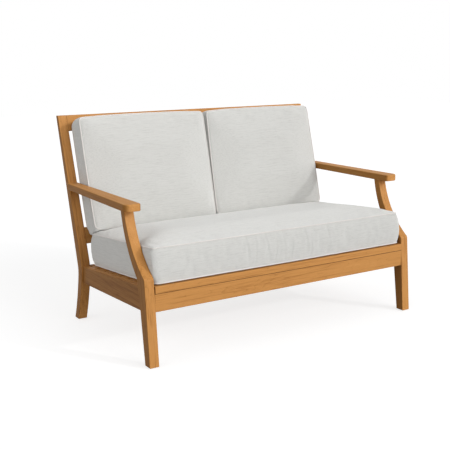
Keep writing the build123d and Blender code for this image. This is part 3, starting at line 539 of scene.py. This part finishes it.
def dark_nylon(name):
    """The glides: dark moulded nylon with a scuffed underside."""
    nylon = Maker(name)
    scuffs = nylon.noise(nylon.mapped(nylon.place(), scuff_stretch), 4.0, scuff_rough)
    nylon.join(nylon.ramp(scuffs, nylon_stops), nylon.shader.inputs["Base Color"])
    nylon.join(nylon.span(scuffs, *scuff_range, *nylon_roughness), nylon.shader.inputs["Roughness"])
    nylon.bump(scuffs, small_relief, scuff_strength)
    return nylon.material


end_grain_wood = end_grain("end_grain")
stainless = plain_steel("stainless")
small_parts = {
    "joint_pegs": end_grain_wood, "arm_plugs": end_grain_wood,
    "slat_screws": stainless, "cap_screws": stainless, "ledger_screws": stainless, "arm_screws": stainless,
    "foot_glides": dark_nylon("nylon"),
}
for node_name, material in small_parts.items():
    paint(node_name, material)
print("small parts painted:", sorted(small_parts))

# %% [markdown]
# The cushions wear an off-white outdoor cloth with slubs: here and there a weft thread is thicker,
# and shows as a short pale or grey dash that runs across the cushion. A photograph of cloth could be
# wrapped on, but it would blur close up. Here every thread is a formula in the cushion's own
# directions: fine warp and weft for relief, long thin noise for the slubs.

# %% Cloth
cloth_light = (0.724, 0.720, 0.696, 1.0)
cloth_shade = (0.632, 0.628, 0.604, 1.0)
# The piping is paler than the cushions' cloth: painted light, so the thin cord, shaded by its own bulge,
# reads light.
piping_light = (0.820, 0.790, 0.765, 1.0)
piping_shade = (0.760, 0.730, 0.706, 1.0)
seat_angle = math.radians(5.0)
long_slub_stretch = (16.0, 420.0, 420.0)
end_slub_stretch = (420.0, 16.0, 420.0)
short_slub_stretch = (60.0, 760.0, 760.0)
warp_stretch = (520.0, 26.0, 26.0)
cloud_stretch = (9.0, 9.0, 9.0)
long_slub_share = 0.56
short_slub_share = 0.34
warp_share = 0.07
cloud_share = 0.03
end_face_range = (0.6, 0.8)
thread_pitch = 0.0011
thread_share = 0.22
thread_wander = 0.6
one_wave_a_unit = 0.314
slub_rough = 0.6
slub_places = (0.36, 0.52, 0.70)
cloth_relief = 0.0006
relief_strength = 0.7
cloth_roughness = 0.92
cloth_gloss = 0.20
cloth_sheen = 0.06
sheen_roughness = 0.5


def slub_tone(weave, threads):
    """Long and short slubs, faint stripes of warp and a slow cloudiness, as one value."""
    on_ends = weave.span(weave.sideways(), *end_face_range, 0.0, 1.0)
    long_slubs = weave.noise(threads(long_slub_stretch), 3.0, slub_rough)
    end_slubs = weave.noise(threads(end_slub_stretch), 3.0, slub_rough)
    short_slubs = weave.noise(threads(short_slub_stretch))
    warp_stripes = weave.noise(threads(warp_stretch))
    clouds = weave.noise(threads(cloud_stretch), 3.0)
    tone = weave.share(weave.blend(on_ends, long_slubs, end_slubs), long_slub_share)
    tone = weave.sum(tone, weave.share(short_slubs, short_slub_share))
    tone = weave.sum(tone, weave.share(warp_stripes, warp_share))
    return weave.sum(tone, weave.share(clouds, cloud_share))


def thread_height(weave, threads):
    """The round backs of the threads in all three directions, as one height."""
    heights = []
    for direction in ("X", "Y", "Z"):
        wave = weave.node("ShaderNodeTexWave", wave_type="BANDS", bands_direction=direction)
        wave.inputs["Scale"].default_value = one_wave_a_unit
        wave.inputs["Distortion"].default_value = thread_wander
        weave.join(threads((1.0 / thread_pitch,) * 3), wave.inputs["Vector"])
        heights.append(wave.outputs[1])
    return weave.sum(weave.sum(heights[0], heights[1]), heights[2])


def cloth(name, lean, shift, light, shade):
    """Slub cloth whose weft runs along X, on a cushion that is turned about X by lean."""
    weave = Maker(name)
    place = weave.place()

    def threads(stretch):
        return weave.mapped(place, stretch, (lean, 0.0, 0.0), shift)

    tone = slub_tone(weave, threads)
    colour = weave.ramp(tone, list(zip(slub_places, (shade, light, light))))
    weave.join(colour, weave.shader.inputs["Base Color"])
    weave.shader.inputs["Roughness"].default_value = cloth_roughness
    weave.shader.inputs["Specular IOR Level"].default_value = cloth_gloss
    weave.shader.inputs["Diffuse Roughness"].default_value = 1.0
    weave.shader.inputs["Sheen Weight"].default_value = cloth_sheen
    weave.shader.inputs["Sheen Roughness"].default_value = sheen_roughness
    height = weave.sum(weave.share(thread_height(weave, threads), thread_share), tone)
    weave.bump(height, cloth_relief, relief_strength)
    return weave.material


cushion_cloths = {
    "seat_cushion": cloth("cloth_seat", seat_angle, (0.0, 0.0, 0.0), cloth_light, cloth_shade),
    "back_cushion_left": cloth("cloth_back_left", rest_lean, (0.7, 0.31, 0.0), cloth_light, cloth_shade),
    "back_cushion_right": cloth("cloth_back_right", rest_lean, (1.9, 0.57, 0.0), cloth_light, cloth_shade),
}
piping_cloth = cloth("cloth_piping", 0.0, (0.2, 0.1, 0.0), piping_light, piping_shade)
print("cloths:", sorted(cushion_cloths), "threads every", thread_pitch * 1000, "mm")

# %% [markdown]
# Each cushion is a foam block in a sewn cover: a top and a bottom panel, and a boxing strip between
# them. The seams hold the cover in while the foam pushes it out, so the panels crown and the boxing
# swells between the corners. A subdivided block would be too even. So the core's form is remeshed
# into small squares, its seams are pinned, and a cloth simulation blows it up from inside.
# First come each cushion's own directions and its sewing sizes, which follow the joinery. The back
# cushions sag a little to the right at their tops, as loose cushions do, so a lean is kept too.

# %% Sewing plans
class CushionPlan:
    """Where a cushion lies, and where its seams run, in its own directions: across, along and out.

    Its sides are the left and the right edge, each at the low and at the high end, and then those ends.
    """

    def __init__(self, origin, along, out, sides, seams, bows, corner, lean_left=(0, 0), lean_right=(0, 0)):
        self.origin = np.array(origin)
        self.axes = np.array([(1.0, 0.0, 0.0), along, out])
        self.left, self.right, self.low, self.high = sides
        self.seam_low, self.seam_high = seams
        self.bows = bows
        self.corner = corner
        self.lean_left = lean_left
        self.lean_right = lean_right

    def leaned(self, own):
        """Points after the cushion has sagged to the side, by an amount for each of its corners."""
        rise = (own[:, 1] - self.low) / (self.high - self.low)
        across = np.clip((own[:, 0] - self.left[0]) / (self.right[0] - self.left[0]), 0.0, 1.0)
        at_left = self.lean_left[0] + (self.lean_left[1] - self.lean_left[0]) * rise
        at_right = self.lean_right[0] + (self.lean_right[1] - self.lean_right[0]) * rise
        moved = own.copy()
        moved[:, 0] += at_left * (1 - across) + at_right * across
        return moved

    def to_own(self, points):
        """Points of the room in the cushion's own directions."""
        return (points - self.origin) @ self.axes.T

    def to_room(self, points):
        """Points of the cushion's own directions in the room."""
        return points @ self.axes + self.origin


toe_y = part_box("front_leg_left")[0][1]
seat_origin = Vector((0.0, toe_y + 0.021, 0.3175))
seat_along = (0.0, math.cos(seat_angle), -math.sin(seat_angle))
seat_out = (0.0, math.sin(seat_angle), math.cos(seat_angle))
seat_half = 0.630
seat_low, seat_high = 0.014, 0.610
seat_seams = (0.007, 0.145)
seat_bows = (0.001, 0.002, 0.001, 0.006)
seat_corner = 0.018

rest_origin = Vector((0.0, toe_y + 0.649, 0.265))
rest_along = (0.0, math.sin(rest_lean), math.cos(rest_lean))
rest_out = (0.0, -math.cos(rest_lean), math.sin(rest_lean))
back_outer = 0.624
back_inner = (0.0065, 0.0105)
back_low, back_high = 0.1489, 0.645
back_seams = (0.007, 0.100)
back_bows = (0.0015, 0.005, 0.0015, 0.002)
back_corner = 0.017

plans = {
    "seat_cushion": CushionPlan(
        seat_origin, seat_along, seat_out,
        ((-seat_half, -seat_half), (seat_half, seat_half), seat_low, seat_high),
        seat_seams, seat_bows, seat_corner,
    ),
    "back_cushion_left": CushionPlan(
        rest_origin, rest_along, rest_out,
        ((-back_outer, -back_outer), (-back_inner[0], -back_inner[1]), back_low, back_high),
        back_seams, back_bows, back_corner,
        lean_left=(-0.002, 0.003), lean_right=(-0.0043, 0.0185),
    ),
    "back_cushion_right": CushionPlan(
        rest_origin, rest_along, rest_out,
        (back_inner, (back_outer, back_outer), back_low, back_high),
        back_seams, back_bows, back_corner,
        lean_left=(-0.0097, 0.0195), lean_right=(-0.010, 0.008),
    ),
}
print("cushions to sew:", sorted(plans))

# %% [markdown]
# A few small tools do most of the sewing. Some read and move all points of a piece at once, which is
# far faster than a loop over them. One bakes a piece's modifiers into its mesh, and two find how far
# each point of a cushion lies from its seams, which tells a seam from the open cloth.

# %% Sewing tools
def points_of(mesh):
    """A mesh's points as rows of three numbers."""
    flat = np.empty(len(mesh.vertices) * 3)
    mesh.vertices.foreach_get("co", flat)
    return flat.reshape(-1, 3)


def normals_of(mesh):
    """A mesh's directions outward at its points."""
    flat = np.empty(len(mesh.vertices) * 3)
    mesh.vertices.foreach_get("normal", flat)
    return flat.reshape(-1, 3)


def put_points(mesh, points):
    """Moves a mesh's points."""
    mesh.vertices.foreach_set("co", points.ravel())
    mesh.update()


def settle(piece):
    """Bakes a piece's modifiers into its mesh."""
    graph = bpy.context.evaluated_depsgraph_get()
    mesh = bpy.data.meshes.new_from_object(piece.evaluated_get(graph))
    piece.modifiers.clear()
    old = piece.data
    piece.data = mesh
    bpy.data.meshes.remove(old)


def group_points(piece, name, chosen):
    """Names the chosen points of a piece, for a modifier to act on."""
    group = piece.vertex_groups.new(name=name)
    group.add([int(i) for i in np.nonzero(chosen)[0]], 1.0, "REPLACE")
    return group


def inset_of(plan, own):
    """How far points lie inside the seam outline of a cushion, seen from above."""
    rise = np.clip((own[:, 1] - plan.low) / (plan.high - plan.low), 0.0, 1.0)
    left = plan.left[0] + (plan.left[1] - plan.left[0]) * rise
    right = plan.right[0] + (plan.right[1] - plan.right[0]) * rise
    sides = [own[:, 0] - left, right - own[:, 0], own[:, 1] - plan.low, plan.high - own[:, 1]]
    return np.min(np.array(sides), axis=0)


def seam_reach(plan, own):
    """How far points lie from the nearer of a cushion's two long seams."""
    inset = np.maximum(inset_of(plan, own), 0.0)
    to_low = np.hypot(inset, own[:, 2] - plan.seam_low)
    to_high = np.hypot(inset, own[:, 2] - plan.seam_high)
    return np.minimum(to_low, to_high)


for name, plan in plans.items():
    core = plan.to_own(points_of(nodes[name + "_foam"].data))
    print(name, "core reaches", round(float(inset_of(plan, core).max()), 3), "m in from its seams")

# %% [markdown]
# The core's form becomes a skin of small squares, which a cloth can bend along. A cover copied from
# the CAD has long thin faces that would crease. The remesh leaves small steps on slopes, so the skin
# is smoothed, and then grown a little to make up for it. The top starts slightly flatter than the
# foam's, because the stuffing will push it up.

# %% Square the cores
square_size = 0.0070
calming_rounds = 8
calming_strength = 0.5
cover_growth = 0.0017
crown_start_share = {"seat_cushion": 0.95, "back_cushion_left": 0.90, "back_cushion_right": 0.90}


def add_calm(piece, name, rounds, group=None):
    """A modifier that smooths a piece, or one group of its points."""
    calm = piece.modifiers.new(name, "SMOOTH")
    calm.factor = calming_strength
    calm.iterations = rounds
    if group is not None:
        calm.vertex_group = group.name


def squared_core(name):
    """The core's form as a new piece of small squares, with a slightly lower crown."""
    plan = plans[name]
    piece = bpy.data.objects.new(name + "_soft", nodes[name + "_foam"].data.copy())
    scene.collection.objects.link(piece)
    squares = piece.modifiers.new("squares", "REMESH")
    squares.mode = "VOXEL"
    squares.voxel_size = square_size
    add_calm(piece, "calm", calming_rounds)
    settle(piece)
    put_points(piece.data, points_of(piece.data) + normals_of(piece.data) * cover_growth)
    own = plan.to_own(points_of(piece.data))
    above = own[:, 2] > plan.seam_high
    own[above, 2] = plan.seam_high + (own[above, 2] - plan.seam_high) * crown_start_share[name]
    put_points(piece.data, plan.to_room(own))
    return piece


soft = {name: squared_core(name) for name in plans}
print("points:", {name: len(piece.data.vertices) for name, piece in soft.items()})

# %% [markdown]
# Now the stuffing. The seams are pinned, and a few frames of pressure push the cloth out between
# them. The panels are cut a trifle large, so they can belly without stretching. How far a point may
# move is capped, so the cushion keeps its size. Sculpting the swell by hand would give smoother
# panels, but the pressure finds by itself how a pinned edge pulls the cloth in.

# %% Blow up the cushions
seam_hold = 0.0075
stuffing_pressure = 1.6
stuffing_frames = 18
most_travel = 0.014
cloth_quality = 5
cloth_mass = 0.35
stretch_stiffness = 18.0
squeeze_stiffness = 12.0
shear_stiffness = 6.0
bending_stiffness = 1.2
stretch_damping = 12.0
cut_larger = 0.006


def add_pressure(piece, held):
    """A cloth that is blown up from inside, without weight."""
    stuffing = piece.modifiers.new("stuffing", "CLOTH")
    settings = stuffing.settings
    settings.quality = cloth_quality
    settings.mass = cloth_mass
    settings.tension_stiffness = stretch_stiffness
    settings.compression_stiffness = squeeze_stiffness
    settings.shear_stiffness = shear_stiffness
    settings.bending_stiffness = bending_stiffness
    settings.tension_damping = stretch_damping
    settings.use_pressure = True
    settings.uniform_pressure_force = stuffing_pressure
    settings.shrink_min = -cut_larger
    settings.vertex_group_mass = held.name
    settings.effector_weights.gravity = 0.0
    stuffing.collision_settings.use_collision = False
    stuffing.collision_settings.use_self_collision = False
    stuffing.point_cache.frame_start = 1
    stuffing.point_cache.frame_end = stuffing_frames


def capped(start, end, most):
    """Points that moved from start to end, but no further than most."""
    moved = end - start
    length = np.linalg.norm(moved, axis=1, keepdims=True)
    return start + moved * np.minimum(1.0, most / np.maximum(length, 1e-9))


starts = {name: points_of(piece.data) for name, piece in soft.items()}
for name, piece in soft.items():
    reach = seam_reach(plans[name], plans[name].to_own(starts[name]))
    add_pressure(piece, group_points(piece, "held", reach < seam_hold))
for number in range(1, stuffing_frames + 1):
    scene.frame_set(number)
for name, piece in soft.items():
    settle(piece)
    put_points(piece.data, capped(starts[name], points_of(piece.data), most_travel))
scene.frame_set(1)
for name, piece in soft.items():
    travel = np.linalg.norm(points_of(piece.data) - starts[name], axis=1)
    print(name, "furthest travel", round(float(travel.max()) * 1000, 1), "mm")

# %% [markdown]
# Foam rounds off what the pressure left uneven. One smoothing of the whole cushion would melt its
# seams, so only the open cloth is calmed: the top a little, its middle much more, and the ends of the
# boxing. The middle of the seat's front keeps its ripples, because the photograph shows folds there.
# One subdivision then makes the small squares round.

# %% Calm the cloth
calm_rounds = {"seat_cushion": 6, "back_cushion_left": 14, "back_cushion_right": 14}
crown_rounds = 110
boxing_rounds = 5
top_edge = 0.012
crown_edge = 0.045
fold_half = 0.27


def calm_open_cloth(name, piece):
    """Smooths the large faces and the ends of the boxing, and leaves its middle a few small folds."""
    plan = plans[name]
    own = plan.to_own(points_of(piece.data))
    inset = inset_of(plan, own)
    on_top = own[:, 2] > plan.seam_high
    on_side = (seam_reach(plan, own) > seam_hold) & (own[:, 2] < plan.seam_high - seam_hold)
    for label, chosen, rounds in (
        ("open", on_top & (inset > top_edge), calm_rounds[name]),
        ("crown", on_top & (inset > crown_edge), crown_rounds),
        ("boxing", on_side & (np.abs(own[:, 0]) > fold_half), boxing_rounds),
    ):
        add_calm(piece, label, rounds, group_points(piece, label, chosen))


def smooth_piece(piece):
    """One subdivision, and smooth shading."""
    finer = piece.modifiers.new("finer", "SUBSURF")
    finer.levels = 1
    finer.render_levels = 1
    settle(piece)
    piece.data.polygons.foreach_set("use_smooth", [True] * len(piece.data.polygons))


for name, piece in soft.items():
    calm_open_cloth(name, piece)
    smooth_piece(piece)
print("points:", {name: len(piece.data.vertices) for name, piece in soft.items()})

# %% [markdown]
# A boxing strip swells most half way between its seams. The front of the seat cushion also has soft
# upright folds, each a shallow dent with a small lip beside it. They could come from a finer cloth
# simulation, but those land where they like. Here each fold has its own place and slant.

# %% Swell and fold
boxing_reach = 0.030
boxing_swell = {"seat_cushion": 0.0050, "back_cushion_left": 0.0025, "back_cushion_right": 0.0025}
fold_width = 0.0042
fold_depth = 0.0022
lip_away = 2.2 * fold_width
lip_width = 1.3 * fold_width
lip_share = 0.5
low_fold_fade = 0.6
folds = ((-0.215, -0.10), (-0.165, 0.06), (-0.120, -0.16), (-0.062, 0.10), (-0.030, -0.05), (0.022, 0.12),
         (0.085, -0.10), (0.118, 0.05), (0.205, -0.12))


def swell_boxing(name, own):
    """Rounds the boxing outward between its two seams, most in the middle."""
    plan = plans[name]
    rise = (own[:, 2] - plan.seam_low) / (plan.seam_high - plan.seam_low)
    amount = boxing_swell[name] * 4 * np.clip(rise, 0, 1) * (1 - np.clip(rise, 0, 1))
    middle = np.array([(plan.left[0] + plan.right[0]) / 2, (plan.low + plan.high) / 2])
    half = np.array([(plan.right[0] - plan.left[0]) / 2, (plan.high - plan.low) / 2])
    for axis in (0, 1):
        from_middle = own[:, axis] - middle[axis]
        near = np.clip(1 - (half[axis] - np.abs(from_middle)) / boxing_reach, 0, 1)
        own[:, axis] += np.sign(from_middle) * near * amount
    return own


def pucker_front(own):
    """Presses the folds into the seat cushion's front, deeper near the top seam or near the low one."""
    plan = plans["seat_cushion"]
    rise = np.clip((own[:, 2] - plan.seam_low) / (plan.seam_high - plan.seam_low), 0, 1)
    on_front = np.clip(1 - (own[:, 1] - plan.low) / boxing_reach, 0, 1) * 4 * rise * (1 - rise)
    for number, (place, slant) in enumerate(folds):
        middle = place + slant * (own[:, 2] - plan.seam_high)
        dent = np.exp(-((own[:, 0] - middle) / fold_width) ** 2)
        lip = np.exp(-((own[:, 0] - middle - lip_away) / lip_width) ** 2)
        share = rise if number % 2 == 0 else 1 - low_fold_fade * rise
        own[:, 1] += fold_depth * on_front * share * (dent - lip_share * lip)
    return own


print("folds on the seat cushion's front:", len(folds))

# %% [markdown]
# A cushion is flat only where it rests on something. The seat cushion lies on the slats and the back
# cushions lean on theirs. A simulation with collisions would find this too, but slowly. Here each
# point is simply held back to its own side of the slats, the arms and the parting between the two
# back cushions.

# %% Lay the cushions on the frame
rest_gap = 0.0006
seat_side_most = 0.6350
back_side_most = 0.6305
arm_level = 0.42
back_parting = (-0.007, 0.019)
parting_gap = 0.0010


def rest_on_frame(name, piece):
    """Swells and leans a cushion, and keeps it off the face that it lies on and off its neighbours."""
    plan = plans[name]
    own = plan.leaned(swell_boxing(name, plan.to_own(points_of(piece.data))))
    own[:, 2] = np.maximum(own[:, 2], rest_gap)
    if name == "seat_cushion":
        own = pucker_front(own)
        own[:, 0] = np.clip(own[:, 0], -seat_side_most, seat_side_most)
    else:
        by_arm = own[:, 1] < arm_level
        own[by_arm, 0] = np.clip(own[by_arm, 0], -back_side_most, back_side_most)
        rise = (own[:, 1] - plan.low) / (plan.high - plan.low)
        parting = back_parting[0] + (back_parting[1] - back_parting[0]) * rise
        if name == "back_cushion_left":
            own[:, 0] = np.minimum(own[:, 0], parting - parting_gap)
        else:
            own[:, 0] = np.maximum(own[:, 0], parting + parting_gap)
    put_points(piece.data, plan.to_room(own))


for name, piece in soft.items():
    rest_on_frame(name, piece)
    across = points_of(piece.data)[:, 0]
    print(name, "from", round(float(across.min()), 4), "to", round(float(across.max()), 4), "m across")

# %% [markdown]
# The back cushions stand on the seat cushion, whose top is crowned, so their feet can't be straight.
# A straight foot would sink in at the middle and hang in the air at the ends. For each point of the
# foot a line is drawn down the leaning back to the seat cushion. Where there is a gap the foot sags
# into it, and where the foot would sink in it is pushed up.

# %% Stand the back cushions on the seat cushion
seat_gap = 0.0009
foot_gap = 0.0052
foot_edge = 0.012
foot_reach = 0.060
foot_drop_most = 0.018
look_above = 0.12


def tree_of(piece):
    """A search tree of a piece's faces."""
    mesh = piece.data
    return BVHTree.FromPolygons(
        [v.co for v in mesh.vertices], [tuple(face.vertices) for face in mesh.polygons]
    )


def sink_to_seat(name, piece, seat_tree):
    """Lets the foot of a back cushion sag until it lies on the seat cushion."""
    plan = plans[name]
    points = points_of(piece.data)
    own = plan.to_own(points)
    up = Vector(plan.axes[1])
    dropped = 0
    for index in np.nonzero(own[:, 1] < plan.low + foot_reach)[0]:
        here = Vector(points[index])
        below = max(own[index, 1] - (plan.low + foot_edge), 0.0)
        hit, normal, face, distance = seat_tree.ray_cast(here + up * look_above, -up, 3 * look_above)
        if hit is None:
            continue
        free = distance - look_above - foot_gap - below
        if free > 0:
            own[index, 1] -= min(free, foot_drop_most) * (1 - below / foot_reach) ** 2
            dropped += 1
    put_points(piece.data, plan.to_room(own))
    print(name, "points that sagged to the seat cushion:", dropped)


def stand_on_seat(name, piece, seat_tree):
    """Pushes the foot of a back cushion up, where it would sink into the seat cushion."""
    plan = plans[name]
    points = points_of(piece.data)
    own = plan.to_own(points)
    up = Vector(plan.axes[1])
    pushed = 0
    for index in np.nonzero(own[:, 1] < plan.low + look_above)[0]:
        here = Vector(points[index])
        hit, normal, face, distance = seat_tree.ray_cast(here + up * look_above, -up, 2 * look_above)
        if hit is None:
            continue
        needed = look_above - distance + seat_gap
        if needed > 0:
            own[index, 1] += needed
            pushed += 1
    put_points(piece.data, plan.to_room(own))
    print(name, "points pushed up by the seat cushion:", pushed)


seat_tree = tree_of(soft["seat_cushion"])
for name in ("back_cushion_left", "back_cushion_right"):
    sink_to_seat(name, soft[name], seat_tree)
    stand_on_seat(name, soft[name], seat_tree)

# %% [markdown]
# The finished cushions get their cloth. Each takes the place of the plain cover and foam that came
# with the frame, and moves with its own body, so that it can be lifted out.

# %% Dress the cushions
for name, piece in soft.items():
    piece.data.materials.clear()
    piece.data.materials.append(cushion_cloths[name])
    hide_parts(name + "_cover", name + "_foam")
    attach(piece, name)
print("cushions dressed:", sorted(soft))

# %% [markdown]
# A seam runs once round the cushion, with four rounded corners and sides that bow out a little. It
# could be drawn point by point, but then a change of size would mean drawing it again. So each side
# is a shallow bow and each corner a true quarter turn, both by formula.

# %% Lay out the seams
cord_step = 0.006
corner_steps = 9
corner_weight = math.sqrt(0.5)


def bowed_side(start, end, bow, count):
    """Points along a side that stands out by bow in its middle."""
    share = np.linspace(0.0, 1.0, count)[:, None]
    way = end - start
    outward = np.array([-way[1], way[0]]) / np.linalg.norm(way)
    return start + way * share + outward * bow * 4.0 * share * (1.0 - share)


def round_corner(before, corner, after):
    """A true quarter turn between two sides."""
    share = np.linspace(0.0, 1.0, corner_steps)[:, None]
    ends = (1 - share) ** 2 + share ** 2
    middle = 2 * corner_weight * share * (1 - share)
    path = (1 - share) ** 2 * before + middle * corner + share ** 2 * after
    return path / (ends + middle)


def seam_outline(plan):
    """The closed outline of a cushion's seam, seen from above."""
    corners = [
        np.array((plan.left[0], plan.low)), np.array((plan.left[1], plan.high)),
        np.array((plan.right[1], plan.high)), np.array((plan.right[0], plan.low)),
    ]
    outline = []
    for number, corner in enumerate(corners):
        before = corners[number - 1]
        after = corners[(number + 1) % 4]
        to_before = (before - corner) / np.linalg.norm(before - corner)
        to_after = (after - corner) / np.linalg.norm(after - corner)
        start = corner + to_after * plan.corner
        outline.append(round_corner(corner + to_before * plan.corner, corner, start))
        end = after - to_after * plan.corner
        count = max(3, int(np.linalg.norm(end - start) / cord_step))
        outline.append(bowed_side(start, end, plan.bows[number], count)[1:-1])
    return np.vstack(outline)


for name, plan in plans.items():
    outline = seam_outline(plan)
    steps = np.linalg.norm(np.roll(outline, -1, axis=0) - outline, axis=1)
    print(name, "seam", round(float(steps.sum()), 3), "m long")

# %% [markdown]
# The piping is a cord wrapped in the same cloth and caught in the seam. A tube on the sewing plan's
# outline would float off the stuffed cover, so each point of its path is first laid on the finished
# cushion, then smoothed, and only then given its roundness.

# %% Cord the seams
cord_radius = 0.0026
cord_stand = 0.0016
cord_roundness = 3
cord_calm_rounds = 3
diagonal = math.sqrt(0.5)


def cord_path(name, height, side):
    """The seam's path, laid on the finished cushion and stood off a little, in the room."""
    plan = plans[name]
    outline = seam_outline(plan)
    own = plan.leaned(np.column_stack([outline, np.full(len(outline), height)]))
    ahead = np.roll(outline, -1, axis=0) - np.roll(outline, 1, axis=0)
    ahead /= np.linalg.norm(ahead, axis=1, keepdims=True)
    outward = np.column_stack([-ahead[:, 1], ahead[:, 0], np.full(len(outline), float(side))]) * diagonal
    tree = tree_of(soft[name])
    laid = []
    for point, stand in zip(plan.to_room(own), outward @ plan.axes):
        near = tree.find_nearest(Vector(point))[0]
        laid.append(np.array(near) + stand * cord_stand)
    laid = np.array(laid)
    for _ in range(cord_calm_rounds):
        laid = (np.roll(laid, 1, axis=0) + laid * 2 + np.roll(laid, -1, axis=0)) / 4
    return laid


def cord_piece(name, label, height, side):
    """One closed cord of piping as a smooth tube."""
    path = cord_path(name, height, side)
    curve = bpy.data.curves.new(f"{name}_piping_{label}", "CURVE")
    curve.dimensions = "3D"
    curve.bevel_depth = cord_radius
    curve.bevel_resolution = cord_roundness
    spline = curve.splines.new("POLY")
    spline.points.add(len(path) - 1)
    for point, place in zip(spline.points, path):
        point.co = (*place, 1.0)
    spline.use_cyclic_u = True
    spline.use_smooth = True
    piece = bpy.data.objects.new(curve.name, curve)
    scene.collection.objects.link(piece)
    # The cord wears the cushions' weave in a paler colour: painted light.
    curve.materials.append(piping_cloth)
    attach(piece, name)
    return piece


for name, plan in plans.items():
    lower = cord_piece(name, "low", plan.seam_low, -1)
    upper = cord_piece(name, "high", plan.seam_high, 1)
    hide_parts(name + "_piping")
    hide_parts(name + "_piping")
print("cords of piping:", 2 * len(plans))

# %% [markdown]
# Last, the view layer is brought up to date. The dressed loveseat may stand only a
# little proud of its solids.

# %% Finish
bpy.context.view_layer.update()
